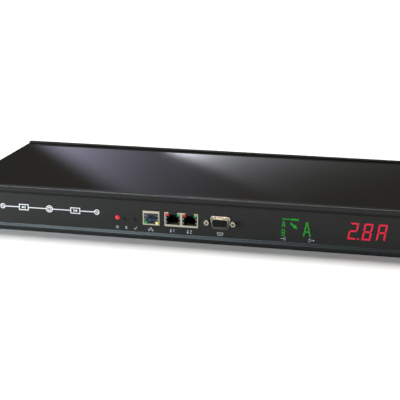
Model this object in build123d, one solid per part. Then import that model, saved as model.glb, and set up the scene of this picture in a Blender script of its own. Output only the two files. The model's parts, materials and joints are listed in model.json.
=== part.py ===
"""A one-unit rack static transfer switch: two mains inlets, one outlet, sockets and a readout in front.

Two extruded rails form the front and the back edge. A folded tray and a folded cover close the box
between them. X runs to the right seen from the front, Y from front to back and Z up, in millimetres.
The pieces are drawn with Y = 0 on the front rail's lips and Z = 0 on the surface that the unit stands
on. They are moved at the end, so that the origin is the middle of the underside.
"""
import os
from math import atan2, degrees, hypot, radians, tan

from build123d import *

# Overall sizes
rack_width = 482.6
unit_height = 43.6
ear_reach = 19.3
body_depth = 194.7

# Section of the two rails
lip_height = 4.4
lip_bevel = 2.4
panel_recess = 2.0
rail_wall = 2.5
upper_flange = 7.0
lower_flange = 14.0
flange_thickness = 1.8
shelf_length = 14.0
shelf_thickness = 1.5
upper_edge_radius = 1.0
lower_edge_radius = 1.5
port_radius = 2.3
port_bore_radius = 1.25
thread_gap = 0.05
port_sink = 0.5

# Sheet metal and film
sheet = 1.2
bend_radius = 1.0
side_setback = 0.4
slide_gap = 0.2
film_thickness = 0.25
film_margin = 0.6
tray_wall_height = 20.0
vent_width = 3.0
vent_height = 16.0
vent_pitch = 7.0
vent_margin = 12.0
vent_lift = 1.0
floor_vent_length = 22.0
floor_vent_columns = 11

# Rack ears
ear_thickness = 2.0
ear_leg_length = 46.0
slot_from_edge = 8.75
slot_spacing_z = 31.75
slot_length = 10.0
slot_width = 6.8
ear_corner_radius = 2.0

# Fasteners
m3_radius = 1.5
m3_head_radius = 2.75
m3_countersink = 1.2
m3_pan_height = 1.9
m3_length = 8.0
board_screw_length = 6.0
m4_radius = 2.0
m4_head_radius = 3.9
m4_pan_height = 2.4
m4_length = 9.0
head_rounding = 0.45
drive_width = 0.7
drive_depth = 0.84
cover_screw_from_rear = 10.5
cover_screw_from_side = 13.3
cover_middle_screw_x = 9.0
base_screw_y = 10.6
base_screw_from_side = 10.0
base_inner_screw_x = 82.0
side_screw_from_ear = 24.0
side_screw_from_rear = 22.7
side_screw_z = 14.0
ear_screw_y = 32.0
ear_screw_z = (9.0, 16.5)

# Sockets in the front panel
jack_width = 16.1
jack_height = 13.6
jack_depth = 21.0
jack_proud = 0.8
jack_sheet = 0.4
jack_frame_side = 1.5
jack_frame_thick = 2.4
jack_frame_thin = 1.1
jack_mouth_width = 11.8
jack_mouth_height = 7.0
jack_mouth_depth = 13.5
latch_width = 6.2
latch_height = 2.2
jack_lamp_width = 2.7
jack_lamp_height = 2.3
jack_lamp_inset = 1.1
jack_lamp_depth = 12.0
contact_pitch = 1.02
contact_width = 0.45
contact_thickness = 0.35
contact_count = 8
panel_gap = 0.25
contact_start = 4.0
contact_end = 2.0
contact_rise = 0.55
lan_from_sensor = 29.1
sensor_from_serial = 37.3
board_top = 14.3
board_thickness = 1.6

# Nine-way serial port
serial_from_flow = 71.1
serial_z = 21.2
serial_screw_spacing = 24.99
rim_width = 19.6
rim_height = 12.0
rim_wall = 0.7
rim_proud = 1.0
shell_width = 16.3
shell_height = 7.9
shell_wall = 0.45
shell_length = 6.0
d_slope = 10.0
d_radius = 2.6
serial_flange_width = 30.8
serial_flange_height = 12.5
serial_flange_thickness = 1.0
serial_pin_pitch = 2.77
serial_row_pitch = 2.84
serial_hole_radius = 0.55
insert_setback = 0.6
insert_depth = 9.0
insert_width = 18.6
jackscrew_across_flats = 4.8
jackscrew_length = 5.0
jackscrew_bore_radius = 1.42
jackscrew_chamfer = 0.4
jackscrew_nut = 2.0
sleeve_setback = 1.0
sleeve_bore_share = 0.55

# Status light and buttons
light_from_button = 8.0
light_z = 19.2
light_radius = 2.2
light_proud = 1.0
light_length = 8.6
light_collar = 0.5
nose_rounding = 0.85
lead_radius = 0.25
lead_pitch = 2.54
lead_run_back = 3.0
lead_bend = 0.8
ok_from_lan = 15.1
button_pitch = 10.2
button_z = 19.0
button_radius = 1.5
button_hole_radius = 1.75
button_setback = 0.8
button_length = 4.2
button_round = 0.4
button_collar_radius = 2.6
button_travel = 0.5
plunger_radius = 1.4
plunger_gap = 0.2
plunger_length = 4.0
switch_width = 6.4
switch_depth = 5.0
switch_gap = 0.3
switch_height = 7.9
switch_round = 0.5

# Readout and flow symbol
readout_from_end = 47.6
readout_width = 47.0
readout_height = 24.0
readout_z = 21.7
digit_pitch = 12.8
digit_width = 6.4
digit_height = 14.2
digit_slant = 9.5
stroke = 1.6
stroke_gap = 0.18
digits_offset = 0.2
dot_offset = 7.1
flow_from_readout = 64.4
flow_width = 38.0
flow_height = 24.0
flow_z = 20.0
inlay_depth = 0.8
dash_height = 8.7
thin_dash = 0.9
thick_dash = 1.5
arrow_head = 3.4
short_dash = (-13.5, -6.5)
long_dash = (-5.9, 1.9)
arrow_tail = (-5.9, 5.4)
arrow_tip = (0.4, 0.3)
display_board_left = 4.0
display_board_right = 6.0
display_board_back = 3.0

# Boards and what they carry
control_board_width = 150.0
control_board_depth = 42.0
control_board_offset = 4.6
control_pillar_side = 5.0
control_pillar_front = 9.0
control_pillar_back = 5.0
chip_side_margin = 12.0
chip_back_margin = 3.0
chip_sizes = ((14.0, 14.0, 1.4), (9.0, 9.0, 1.2), (10.0, 6.0, 1.6), (12.0, 8.0, 2.2), (8.0, 18.0, 9.0))
chip_chamfer = 0.3
ribbon_width = 18.0
ribbon_thickness = 0.9
ribbon_inset = 12.0
ribbon_rise = 8.0
ribbon_end_rise = 6.0
ribbon_bend = 3.0
board_from_panel = 1.8
board_spacing = 5.7
pillar_radius = 3.0
pillar_inset = 4.0
power_board_margin = 8.8
power_board_z = 9.0
insulation = 0.5
insulation_margin = 1.0
insulation_opening = 2.0

# Inlets and outlet in the rear rail
inlet_from_sink = 12.0
connector_pitch = 70.0
connector_z = 21.8
connector_flange_width = 50.0
connector_flange_height = 27.0
connector_flange_thickness = 3.0
connector_screw_spacing = 40.0
connector_body_width = 33.0
connector_body_height = 24.0
connector_body_depth = 24.0
cavity_width = 30.0
cavity_height = 21.0
cavity_depth = 16.5
cavity_radius = 3.5
blade_width = 8.0
blade_thickness = 2.0
blade_length = 14.0
blade_tail = 8.0
line_spacing = 13.0
earth_offset = 8.0
core_width = 24.4
core_height = 15.4
blade_chamfer = 1.2
contact_slot_gap = 0.9
contact_setback = 3.0
contact_play = 0.2
connector_nut = 2.4
lead_run = 8.7
lead_gap = 0.8
rows_margin = 3.0

# Power parts
module_length = 38.0
module_width = 25.0
module_height = 11.8
module_corner = 2.0
sink_base = 4.0
sink_length = 92.0
sink_fin = 1.6
sink_fin_pitch = 7.0
sink_height = 16.6
relay_size = (29.0, 12.6, 25.0)
choke_radius = 15.0
choke_bore_radius = 6.5
choke_height = 15.0
choke_round = 2.5
box_capacitor_size = (26.0, 10.0, 19.0)
varistor_radius = 7.0
varistor_thickness = 4.5
varistor_pitch = 8.0
varistor_count = 4
fuse_radius = 5.1
fuse_length = 38.0
fuse_lift = 2.0
fuse_clip_length = 7.0
fuse_clip_width = 5.0
fuse_clip_inset = 4.5
transformer_size = (32.0, 27.0, 22.5)
transformer_round = 1.5
can_radius = 6.3
can_height = 22.0
can_pitch = 14.5
small_round = 0.8
sensor_ring_radius = 11.0
sensor_ring_bore = 6.5
sensor_ring_length = 10.0
wire_drop = 8.0
wire_radius = 1.7
wire_bend = 5.0
wire_inset = 4.0

def span(middle, size):
    """Low and high value of a size laid about its middle."""
    return middle - size / 2, middle + size / 2


def laid_out(sizes, low, high):
    """Middles of pieces laid in a row between two edges, with equal gaps beside and between them."""
    gap = (high - low - sum(sizes)) / (len(sizes) + 1)
    middles = []
    for size in sizes:
        low += gap + size
        middles.append(low - size / 2)
    return middles


# Places worked out from the sizes above
body_width = rack_width - 2 * ear_reach
side_x = body_width / 2
panel_y = panel_recess
panel_front = panel_y - film_thickness
panel_back = panel_y + rail_wall
rail_length = body_width - 2 * sheet
cover_top = unit_height - flange_thickness
cover_under = cover_top - sheet
shelf_top = cover_under - slide_gap
tray_top = flange_thickness + sheet
tray_half = rail_length / 2 - slide_gap
tray_start = panel_back + slide_gap
rear = body_depth
board_under = board_top - board_thickness
front_reach = jackscrew_length - panel_front
rear_reach = connector_flange_thickness - panel_recess
front_y = (front_reach - body_depth - rear_reach) / 2
cover_end_x = side_x - cover_screw_from_side
cover_screw_x = (-cover_end_x, cover_middle_screw_x, cover_end_x)
base_end_x = side_x - base_screw_from_side
base_screw_x = (-base_end_x, -base_inner_screw_x, base_inner_screw_x, base_end_x)
side_screw_ends = (ear_leg_length + side_screw_from_ear, rear - side_screw_from_rear)
side_screw_y = (side_screw_ends[0], sum(side_screw_ends) / 2, side_screw_ends[1])
readout_x = side_x - readout_from_end
digit_middle_x = readout_x - digits_offset
flow_x = readout_x - flow_from_readout
serial_x = flow_x - serial_from_flow
sensor_x = serial_x - sensor_from_serial
lan_x = sensor_x - lan_from_sensor
ok_x = lan_x - ok_from_lan
button_x = (ok_x - button_pitch, ok_x)
light_x = button_x[0] - light_from_button
control_board_x = sensor_x - control_board_offset
control_front = panel_back + board_from_panel
control_back = control_front + control_board_depth
tails_end = rear - panel_recess - connector_body_depth - blade_tail
power_front = control_back + board_spacing
power_back = tails_end - lead_run
power_board_width = rail_length - 2 * power_board_margin
power_top = power_board_z + board_thickness
rows_front = power_front + rows_margin
rows_back = power_back - wire_inset - wire_radius - lead_gap
bay_end = power_board_width / 2 - 2 * pillar_inset
choke_width, relay_width = 2 * choke_radius, relay_size[0]
middle_bays = [choke_width, choke_width, fuse_length, relay_width, relay_width]
bays = laid_out([transformer_size[0]] + middle_bays + [sink_length], -bay_end, bay_end)
transformer_x, choke_x, fuse_x, relay_x, sink_x = bays[0], bays[1:3], bays[3], bays[4:6], bays[6]
after_chokes = (choke_x[1] + choke_width / 2 + fuse_x - fuse_length / 2) / 2
after_relays = (relay_x[1] + relay_width / 2 + sink_x - sink_length / 2) / 2
module_x = laid_out([module_length] * 2, sink_x - sink_length / 2, sink_x + sink_length / 2)
module_y = laid_out([module_width] * 2, rows_front, rows_back)
outlet_x = fuse_x + line_spacing / 2
inlet_x = (sink_x - inlet_from_sink, sink_x - inlet_from_sink - connector_pitch)


def block(x, y, z):
    """A box between the low and the high value in each direction."""
    size = [high - low for low, high in (x, y, z)]
    return Pos(x[0], y[0], z[0]) * Box(*size, align=(Align.MIN, Align.MIN, Align.MIN))


def rod_x(radius, x, y, z):
    """A round bar along X between two values of X."""
    bar = Cylinder(radius, x[1] - x[0], align=(Align.CENTER, Align.CENTER, Align.MIN))
    return Pos(x[0], y, z) * Rot(0, 90, 0) * bar


def rod_y(radius, x, y, z):
    """A round bar along Y between two values of Y."""
    bar = Cylinder(radius, y[1] - y[0], align=(Align.CENTER, Align.CENTER, Align.MIN))
    return Pos(x, y[0], z) * Rot(-90, 0, 0) * bar


def rod_z(radius, x, y, z):
    """A round bar along Z between two values of Z."""
    bar = Cylinder(radius, z[1] - z[0], align=(Align.CENTER, Align.CENTER, Align.MIN))
    return Pos(x, y, z[0]) * bar


def group(pieces):
    """Separate solids kept together in one node."""
    return Compound([solid for piece in pieces for solid in piece.solids()])


def turned_to_rear(piece):
    """The same piece turned half round, so that it belongs to the rear edge."""
    return Pos(0, rear, 0) * Rot(0, 0, 180) * piece


def facing_front(sketch, y, amount):
    """A sketch drawn as seen from the front (X right, Y up), given depth from y backwards."""
    return extrude(Pos(0, y, 0) * Rot(90, 0, 0) * sketch, amount=-amount)


# Rails and sheet metal


def rail_section():
    """Section of a rail: lips, recessed web, flanges, shelf for the cover and two screw ports."""
    shelf_under = shelf_top - shelf_thickness
    points = [
        (0, 0),
        (0, lip_height),
        (panel_recess, lip_height + lip_bevel),
        (panel_recess, unit_height - lip_height - lip_bevel),
        (0, unit_height - lip_height),
        (0, unit_height),
        (upper_flange, unit_height),
        (upper_flange, cover_top),
        (panel_back, cover_top),
        (panel_back, shelf_top),
        (shelf_length, shelf_top),
        (shelf_length, shelf_under),
        (panel_back, shelf_under),
        (panel_back, flange_thickness),
        (lower_flange, flange_thickness),
        (lower_flange, 0),
    ]
    with BuildSketch(Plane.YZ) as section:
        with BuildLine():
            Polyline(points, close=True)
        make_face()
        lowest = section.vertices().sort_by_distance((0, 0))[0]
        fillet(lowest, radius=lower_edge_radius)
        highest = section.vertices().sort_by_distance((0, unit_height))[0]
        fillet(highest, radius=upper_edge_radius)
        with Locations(*port_centres()):
            Circle(port_radius)
        with Locations(*port_centres()):
            Circle(port_bore_radius, mode=Mode.SUBTRACT)
    return section.sketch


def port_top():
    """Height of the upper screw port's top, just under the shelf."""
    return shelf_top - shelf_thickness - port_sink


def port_centres():
    """Centres of the screw ports in the section: under the shelf and above the tray."""
    y = panel_back + port_radius - port_sink
    upper = shelf_top - shelf_thickness - port_radius + port_sink
    lower = tray_top + slide_gap + port_radius
    return [(y, upper), (y, lower)]


def plain_rail():
    """A rail before its openings, with its lips towards the front."""
    rail = extrude(rail_section(), amount=rail_length / 2, both=True)
    for x in base_screw_x:
        rail -= countersunk_hole(x, base_screw_y, 0, flange_thickness, upwards=True)
    return rail


def countersunk_hole(x, y, face, depth, upwards):
    """Room for a countersunk screw whose flat head lies in the face at that height."""
    sign = 1 if upwards else -1
    reach = depth + slide_gap
    hole = rod_z(m3_radius + slide_gap / 2, 0, 0, (0, reach))
    cone = Cone(m3_head_radius + slide_gap / 2, m3_radius + slide_gap / 2, m3_countersink)
    cone = Pos(0, 0, m3_countersink / 2) * cone
    hole += cone
    return Pos(x, y, face) * (hole if sign > 0 else Rot(180, 0, 0) * hole)


def d_outline(width, height, radius):
    """The D form of the serial port: sides that lean in towards the bottom, rounded corners."""
    lean = height * tan(radians(d_slope))
    top, low, half = width / 2, width / 2 - lean, height / 2
    with BuildSketch() as outline:
        with BuildLine():
            Polyline([(-low, -half), (low, -half), (top, half), (-top, half)], close=True)
        make_face()
        fillet(outline.vertices(), radius=radius)
    return outline.sketch


def at_serial(piece):
    """Places a piece that was drawn about the middle of the serial port."""
    return Pos(serial_x, 0, serial_z) * piece


def serial_screw_x():
    """The two screw axes of the serial port."""
    return span(serial_x, serial_screw_spacing)


def jack_z():
    """Lowest and highest edge of the network sockets."""
    return board_top, board_top + jack_height


def display_window(x, width, z, height, gap, through):
    """The opening round one display."""
    return block(span(x, width + 2 * gap), through, span(z, height + 2 * gap))


def panel_openings(window_gap):
    """Everything that is cut through the front panel and its film; the gap is the one round the displays."""
    through = (panel_front - 1, panel_back + 1)
    low, high = jack_z()
    tall = (low - panel_gap, high + panel_gap)
    cuts = [
        block(span(lan_x, jack_width + 2 * panel_gap), through, tall),
        block(span(sensor_x, 2 * jack_width + 2 * panel_gap), through, tall),
        display_window(readout_x, readout_width, readout_z, readout_height, window_gap, through),
        display_window(flow_x, flow_width, flow_z, flow_height, window_gap, through),
        rod_y(light_radius + slide_gap, light_x, through, light_z),
    ]
    rim_cut = d_outline(rim_width + 2 * panel_gap, rim_height + 2 * panel_gap, d_radius + panel_gap)
    cuts.append(at_serial(facing_front(rim_cut, through[0], through[1] - through[0])))
    for x in serial_screw_x():
        cuts.append(rod_y(m3_radius + slide_gap / 2, x, through, serial_z))
    for x in button_x:
        cuts.append(rod_y(button_hole_radius, x, through, button_z))
    return cuts


def front_profile():
    """The front rail with the openings of its sockets, lights and buttons."""
    return plain_rail() - panel_openings(slide_gap)


def rear_profile():
    """The rear rail with the three connector openings and the holes of the cover screws."""
    rail = turned_to_rear(plain_rail())
    for x in inlet_x + (outlet_x,):
        width = connector_body_width + 2 * panel_gap
        height = connector_body_height + 2 * panel_gap
        rail -= block(span(x, width), (rear - panel_back - 1, rear), span(connector_z, height))
        for screw_x in span(x, connector_screw_spacing):
            rail -= rod_y(m3_radius + slide_gap / 2, screw_x, (rear - panel_back - 1, rear), connector_z)
    for x in cover_screw_x:
        rail -= rod_z(m3_radius + thread_gap, x, rear - cover_screw_from_rear, (port_top(), cover_under))
    return rail


def front_film():
    """The thin printed film stuck on the recessed front panel."""
    low = lip_height + lip_bevel + film_margin
    high = unit_height - low
    film = block(span(0, rail_length - 2 * film_margin), (panel_front, panel_y), (low, high))
    return film - panel_openings(0)


def base_tray():
    """Folded tray: floor between the rails, two low side walls, vents under the heat sink."""
    floor = block((-tray_half, tray_half), (tray_start, rear - tray_start), (flange_thickness, tray_top))
    inner = tray_half - sheet
    tray = floor
    for side in (-1, 1):
        x = sorted((side * inner, side * tray_half))
        wall = block(x, (lower_flange, rear - lower_flange), (flange_thickness, tray_wall_height))
        tray += wall
    lowest = tray.edges().filter_by(Axis.Y).group_by(Axis.Z)[0].sort_by(Axis.X)
    tray = fillet([lowest[0], lowest[-1]], radius=bend_radius)
    for y in (base_screw_y, rear - base_screw_y):
        for x in base_screw_x:
            tray -= rod_z(m3_radius + thread_gap, x, y, (0, tray_top + 1))
    for row in module_y:
        for step in range(floor_vent_columns):
            x = sink_x + (step - (floor_vent_columns - 1) / 2) * vent_pitch
            tray -= block(span(x, vent_width), span(row, floor_vent_length), (0, tray_top + 1))
    for side in (-1, 1):
        for y, z in wall_screws():
            tray -= rod_x(m3_radius + thread_gap, span(side * tray_half, 4 * sheet), y, z)
        for z in ear_screw_z:
            tray -= rod_x(m4_radius + thread_gap, span(side * tray_half, 4 * sheet), ear_screw_y, z)
    return tray


def wall_screws():
    """Y and Z of the screws that hold the cover's sides to the tray."""
    return [(y, side_screw_z) for y in side_screw_y]


def port_screws():
    """Y and Z of the screws that hold the cover's sides to the rails' screw ports."""
    front = port_centres()
    return front + [(rear - y, z) for y, z in front]


def vent_places():
    """Y of the upright vents in the cover's sides, between the ear and the back edge."""
    low, high = ear_leg_length + vent_margin, rear - vent_margin
    count = int((high - low - vent_width) // vent_pitch) + 1
    middle = (low + high) / 2
    return [middle + (step - (count - 1) / 2) * vent_pitch for step in range(count)]


def top_cover():
    """Folded cover: a plain top that tucks under both lips and two side walls with vents."""
    half = body_width / 2
    top = block((-half, half), (tray_start, rear - tray_start), (cover_under, cover_top))
    cover = top
    for side in (-1, 1):
        x = sorted((side * (half - sheet), side * half))
        wall = block(x, (side_setback, rear - side_setback), (side_setback, cover_top))
        cover += wall
    long_edges = cover.edges().filter_by(Axis.Y).filter_by(
        lambda edge: abs(abs(edge.center().X) - half) < 0.01 and abs(edge.center().Z - cover_top) < 0.01
    )
    cover = fillet(long_edges, radius=bend_radius)
    for x in cover_screw_x:
        cover -= countersunk_hole(x, rear - cover_screw_from_rear, cover_top, sheet, upwards=False)
    for side in (-1, 1):
        reach = span(side * half, 4 * sheet)
        for y in vent_places():
            vent_low = tray_wall_height + vent_lift
            cover -= block(reach, span(y, vent_width), (vent_low, vent_low + vent_height))
        for y, z in wall_screws() + port_screws():
            cover -= rod_x(m3_radius + slide_gap / 2, reach, y, z)
        for z in ear_screw_z:
            cover -= rod_x(m4_radius + slide_gap / 2, reach, ear_screw_y, z)
    return cover


def rack_ear(side):
    """An angle of sheet metal: a slotted plate in front and a leg along the body's side."""
    half, inner = rack_width / 2, body_width / 2
    plate = block((inner, half), (0, ear_thickness), (0, unit_height))
    corners = plate.edges().filter_by(Axis.Y).sort_by(Axis.X)[-2:]
    plate = fillet(corners, radius=ear_corner_radius)
    leg = block((inner, inner + ear_thickness), (0, ear_leg_length), (0, unit_height))
    ear = plate + leg
    outer_bend = ear.edges().filter_by(Axis.Z).sort_by_distance((inner, 0, unit_height / 2))[0]
    ear = fillet(outer_bend, radius=upper_edge_radius)
    for z in span(unit_height / 2, slot_spacing_z):
        slot = SlotOverall(slot_length, slot_width)
        ear -= Pos(half - slot_from_edge, 0, z) * facing_front(slot, -1, ear_thickness + 2)
    for y, z in port_screws()[:2]:
        ear -= rod_x(m3_radius + slide_gap / 2, (inner - 1, inner + ear_thickness + 1), y, z)
    for z in ear_screw_z:
        ear -= rod_x(m4_radius + slide_gap / 2, (inner - 1, inner + ear_thickness + 1), ear_screw_y, z)
    return ear if side > 0 else mirror(ear, about=Plane.YZ)


# Fasteners, each drawn with its axis along Z and its head up


def pan_screw(radius, head_radius, head_height, length):
    """A pan-head screw with a cross recess; Z = 0 is the face that it clamps."""
    head = Cylinder(head_radius, head_height, align=(Align.CENTER, Align.CENTER, Align.MIN))
    head = fillet(head.edges().sort_by(Axis.Z)[-1], radius=head_height * head_rounding)
    shank = Cylinder(radius, length, align=(Align.CENTER, Align.CENTER, Align.MAX))
    return head + shank - drive_cross(head_radius, head_height)


def drive_cross(head_radius, top):
    """The cross recess cut into a screw's head."""
    floor = top - drive_depth
    long_bar = block(span(0, 1.1 * head_radius), span(0, drive_width), (floor, top + 1))
    return long_bar + Rot(0, 0, 90) * long_bar


def countersunk_screw():
    """A countersunk screw; Z = 0 is the flat of its head."""
    head = Cone(m3_radius, m3_head_radius, m3_countersink, align=(Align.CENTER, Align.CENTER, Align.MAX))
    shank = Cylinder(m3_radius, m3_length, align=(Align.CENTER, Align.CENTER, Align.MAX))
    screw = head + Pos(0, 0, -0.01) * shank
    return screw - drive_cross(m3_head_radius, 0)


def countersunk_screws():
    """The cover's three screws and the eight that hold the tray to the rails."""
    screws = [Pos(x, rear - cover_screw_from_rear, cover_top) * countersunk_screw() for x in cover_screw_x]
    for y in (base_screw_y, rear - base_screw_y):
        screws += [Pos(x, y, 0) * Rot(180, 0, 0) * countersunk_screw() for x in base_screw_x]
    return group(screws)


def facing_side(side, x, y, z, screw):
    """Turns a screw so that its head points out of the left or the right side."""
    return Pos(side * x, y, z) * Rot(0, 90 * side, 0) * screw


def pan_head_screws():
    """The screws of the cover's sides, of the rails' screw ports and of the two level boards."""
    screw = pan_screw(m3_radius, m3_head_radius, m3_pan_height, m3_length)
    port_screw = pan_screw(port_bore_radius - thread_gap, m3_head_radius, m3_pan_height, 2 * m3_length)
    board_screw = pan_screw(m3_radius, m3_head_radius, m3_pan_height, board_screw_length)
    pieces = []
    half = body_width / 2
    for side in (-1, 1):
        pieces += [facing_side(side, half, y, z, screw) for y, z in wall_screws()]
        for index, (y, z) in enumerate(port_screws()):
            out = half + ear_thickness if index < 2 else half
            pieces.append(facing_side(side, out, y, z, port_screw))
    pieces += [Pos(x, y, board_top) * board_screw for x, y in control_pillars()]
    pieces += [Pos(x, y, power_top) * board_screw for x, y in power_pillars()]
    return group(pieces)


def rack_ear_screws():
    """Two larger screws through each ear's leg into the tray."""
    screw = pan_screw(m4_radius, m4_head_radius, m4_pan_height, m4_length)
    out = body_width / 2 + ear_thickness
    return group([facing_side(side, out, ear_screw_y, z, screw) for side in (-1, 1) for z in ear_screw_z])


# Network sockets


def jack_mouth(x, latch_up):
    """The plug's way in: a flat mouth with a notch for its latch, above or below."""
    low, high = jack_z()
    middle = (low + high) / 2
    up = 1 if latch_up else -1
    front = panel_y - jack_proud
    mouth_z = span(middle - up * latch_height / 2, jack_mouth_height)
    mouth = block(span(x, jack_mouth_width), (front, front + jack_mouth_depth), mouth_z)
    notch_z = sorted((middle, middle + up * (jack_mouth_height / 2 + latch_height / 2)))
    notch = block(span(x, latch_width), (front, front + jack_mouth_depth), notch_z)
    return mouth + notch


def jack_lamps(x, latch_up):
    """Left and right lamp of a jack, in the two corners beside its latch."""
    low, high = jack_z()
    front = panel_y - jack_proud
    if latch_up:
        z = (high - jack_lamp_inset - jack_lamp_height, high - jack_lamp_inset)
    else:
        z = (low + jack_lamp_inset, low + jack_lamp_inset + jack_lamp_height)
    lamps = []
    for side in (-1, 1):
        middle = x + side * (jack_width / 2 - jack_lamp_inset - jack_lamp_width / 2)
        lamps.append(block(span(middle, jack_lamp_width), (front, front + jack_lamp_depth), z))
    return lamps


def jack_window(x, latch_up):
    """The opening in the shield's front, with its thickest edge opposite the latch."""
    low, high = jack_z()
    front = panel_y - jack_proud
    below, above = (jack_frame_thick, jack_frame_thin) if latch_up else (jack_frame_thin, jack_frame_thick)
    width = jack_width - 2 * jack_frame_side
    return block(span(x, width), (front, front + jack_sheet), (low + below, high - above))


def jack_housing(x, width, mouths, lamps, windows):
    """Metal shield and plastic body of a socket, with its mouths and lamps cut out."""
    low, high = jack_z()
    front = panel_y - jack_proud
    back = front + jack_depth
    outer = block(span(x, width), (front, back), (low, high))
    inner_x = span(x, width - 2 * jack_sheet)
    inner = block(inner_x, (front + jack_sheet, back - jack_sheet), (low + jack_sheet, high - jack_sheet))
    shield = outer - inner
    body = inner
    for cut in mouths + lamps:
        shield -= cut
        body -= cut
    for window in windows:
        shield -= window
    return shield, body


def spring_contacts(x, latch_up):
    """Eight bent wires that slant into the mouth from the wall opposite the latch."""
    low, high = jack_z()
    up = 1 if latch_up else -1
    front = panel_y - jack_proud
    middle = (low + high) / 2 - up * latch_height / 2
    wall = middle - up * jack_mouth_height / 2
    tip = wall + up * contact_rise * jack_mouth_height
    back = front + jack_mouth_depth
    run = [(front + contact_start, wall), (back - contact_end, tip), (back, tip)]
    thick = up * contact_thickness
    outline = run + [(y, z + thick) for y, z in reversed(run)]
    with BuildSketch(Plane.YZ) as strip:
        with BuildLine():
            Polyline(outline, close=True)
        make_face()
    wire = extrude(strip.sketch, amount=contact_width / 2, both=True)
    first = x - contact_pitch * (contact_count - 1) / 2
    return [Pos(first + step * contact_pitch, 0, 0) * wire for step in range(contact_count)]


def lan_jack():
    """The single network socket, latch down."""
    lamps = jack_lamps(lan_x, False)
    mouths, windows = [jack_mouth(lan_x, False)], [jack_window(lan_x, False)]
    shield, body = jack_housing(lan_x, jack_width, mouths, lamps, windows)
    return shield, body, group(spring_contacts(lan_x, False)), lamps[0], lamps[1]


def sensor_jack():
    """The double sensor socket, latches up."""
    middles = span(sensor_x, jack_width)
    lamps = [jack_lamps(x, True) for x in middles]
    mouths = [jack_mouth(x, True) for x in middles]
    windows = [jack_window(x, True) for x in middles]
    shield, body = jack_housing(sensor_x, 2 * jack_width, mouths, lamps[0] + lamps[1], windows)
    high = jack_z()[1]
    front = panel_y - jack_proud
    for x in middles:
        shield -= block(span(x, latch_width), (front, front + jack_sheet), (high - jack_frame_thick, high))
    contacts = group([wire for x in middles for wire in spring_contacts(x, True)])
    return shield, body, contacts, group([pair[0] for pair in lamps]), group([pair[1] for pair in lamps])


# Serial port


def serial_port_shell():
    """Plated shell: flange behind the panel, rim in the panel's opening, D-shaped tube in the middle."""
    flange_y = panel_back
    flange_back = flange_y + serial_flange_thickness
    flange = block(span(0, serial_flange_width), (flange_y, flange_back), span(0, serial_flange_height))
    rim_y = panel_front - rim_proud
    rim = facing_front(d_outline(rim_width, rim_height, d_radius), rim_y, flange_y - rim_y)
    hollow = d_outline(rim_width - 2 * rim_wall, rim_height - 2 * rim_wall, d_radius - rim_wall)
    rim -= facing_front(hollow, rim_y, flange_y - rim_y)
    tube_y = flange_y - shell_length
    tube = facing_front(d_outline(shell_width, shell_height, d_radius), tube_y, shell_length)
    shell = flange + rim + tube
    bore = d_outline(shell_width - 2 * shell_wall, shell_height - 2 * shell_wall, d_radius - shell_wall)
    shell -= facing_front(bore, tube_y, shell_length + serial_flange_thickness)
    for x in span(0, serial_screw_spacing):
        shell -= rod_y(m3_radius + slide_gap / 2, x, (flange_y, flange_back), 0)
    return at_serial(shell)


def serial_holes():
    """X and Z of the nine contacts, five above four."""
    upper = [((step - 2) * serial_pin_pitch, serial_row_pitch / 2) for step in range(5)]
    lower = [((step - 1.5) * serial_pin_pitch, -serial_row_pitch / 2) for step in range(4)]
    return upper + lower


def serial_port_insert():
    """Black insert with nine contact holes, and the block behind it that stands on the board."""
    front = panel_back - shell_length + insert_setback
    back = panel_back + serial_flange_thickness
    bore = d_outline(shell_width - 2 * shell_wall, shell_height - 2 * shell_wall, d_radius - shell_wall)
    insert = facing_front(bore, front, back - front)
    low = board_top - serial_z
    insert += block(span(0, insert_width), (back, back + insert_depth), (low, shell_height / 2 + 1))
    for x, z in serial_holes():
        insert -= rod_y(serial_hole_radius, x, (front, front + shell_length), z)
    return at_serial(insert)


def serial_port_contacts():
    """Nine sprung sleeves at the bottom of the insert's holes."""
    front = panel_back - shell_length + insert_setback
    sleeves = []
    for x, z in serial_holes():
        back = front + shell_length
        outer = rod_y(serial_hole_radius, x, (front + sleeve_setback, back), z)
        bore = rod_y(serial_hole_radius * sleeve_bore_share, x, (front, back - sleeve_setback), z)
        sleeves.append(at_serial(outer - bore))
    return group(sleeves)


def serial_jackscrews():
    """Two hexagonal posts in front of the panel, with a thread for the plug's screws."""
    flange_back = panel_back + serial_flange_thickness
    posts = []
    for x in serial_screw_x():
        hexagon = RegularPolygon(jackscrew_across_flats / 2, 6, major_radius=False)
        post = facing_front(hexagon, panel_front - jackscrew_length, jackscrew_length)
        edge = post.faces().sort_by(Axis.Y)[0].edges()
        post = chamfer(edge, length=jackscrew_chamfer)
        post += rod_y(m3_radius - 0.1, 0, (panel_front, flange_back + jackscrew_nut), 0)
        post += facing_front(hexagon, flange_back, jackscrew_nut)
        post -= rod_y(jackscrew_bore_radius, 0, (panel_front - jackscrew_length, panel_front), 0)
        posts.append(Pos(x, 0, serial_z) * post)
    return group(posts)


# Status light and buttons


def status_light():
    """A round lamp with a domed nose and a collar, standing in the panel."""
    nose = panel_front - light_proud
    body = rod_y(light_radius, light_x, (nose, nose + light_length), light_z)
    body = fillet(body.edges().sort_by(Axis.Y)[0], radius=light_radius * nose_rounding)
    end = nose + light_length
    return body + rod_y(light_radius + light_collar, light_x, (end - 2 * light_collar, end), light_z)


def status_light_leads():
    """The lamp's two wires, bent down to the board."""
    back = panel_front - light_proud + light_length
    leads = []
    turn = back + lead_run_back
    for x in span(light_x, lead_pitch):
        path = FilletPolyline((x, back, light_z), (x, turn, light_z), (x, turn, board_top), radius=lead_bend)
        section = Plane(origin=(x, back, light_z), z_dir=(0, 1, 0)) * Circle(lead_radius)
        leads.append(sweep(section, path=path))
    return group(leads)


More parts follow.
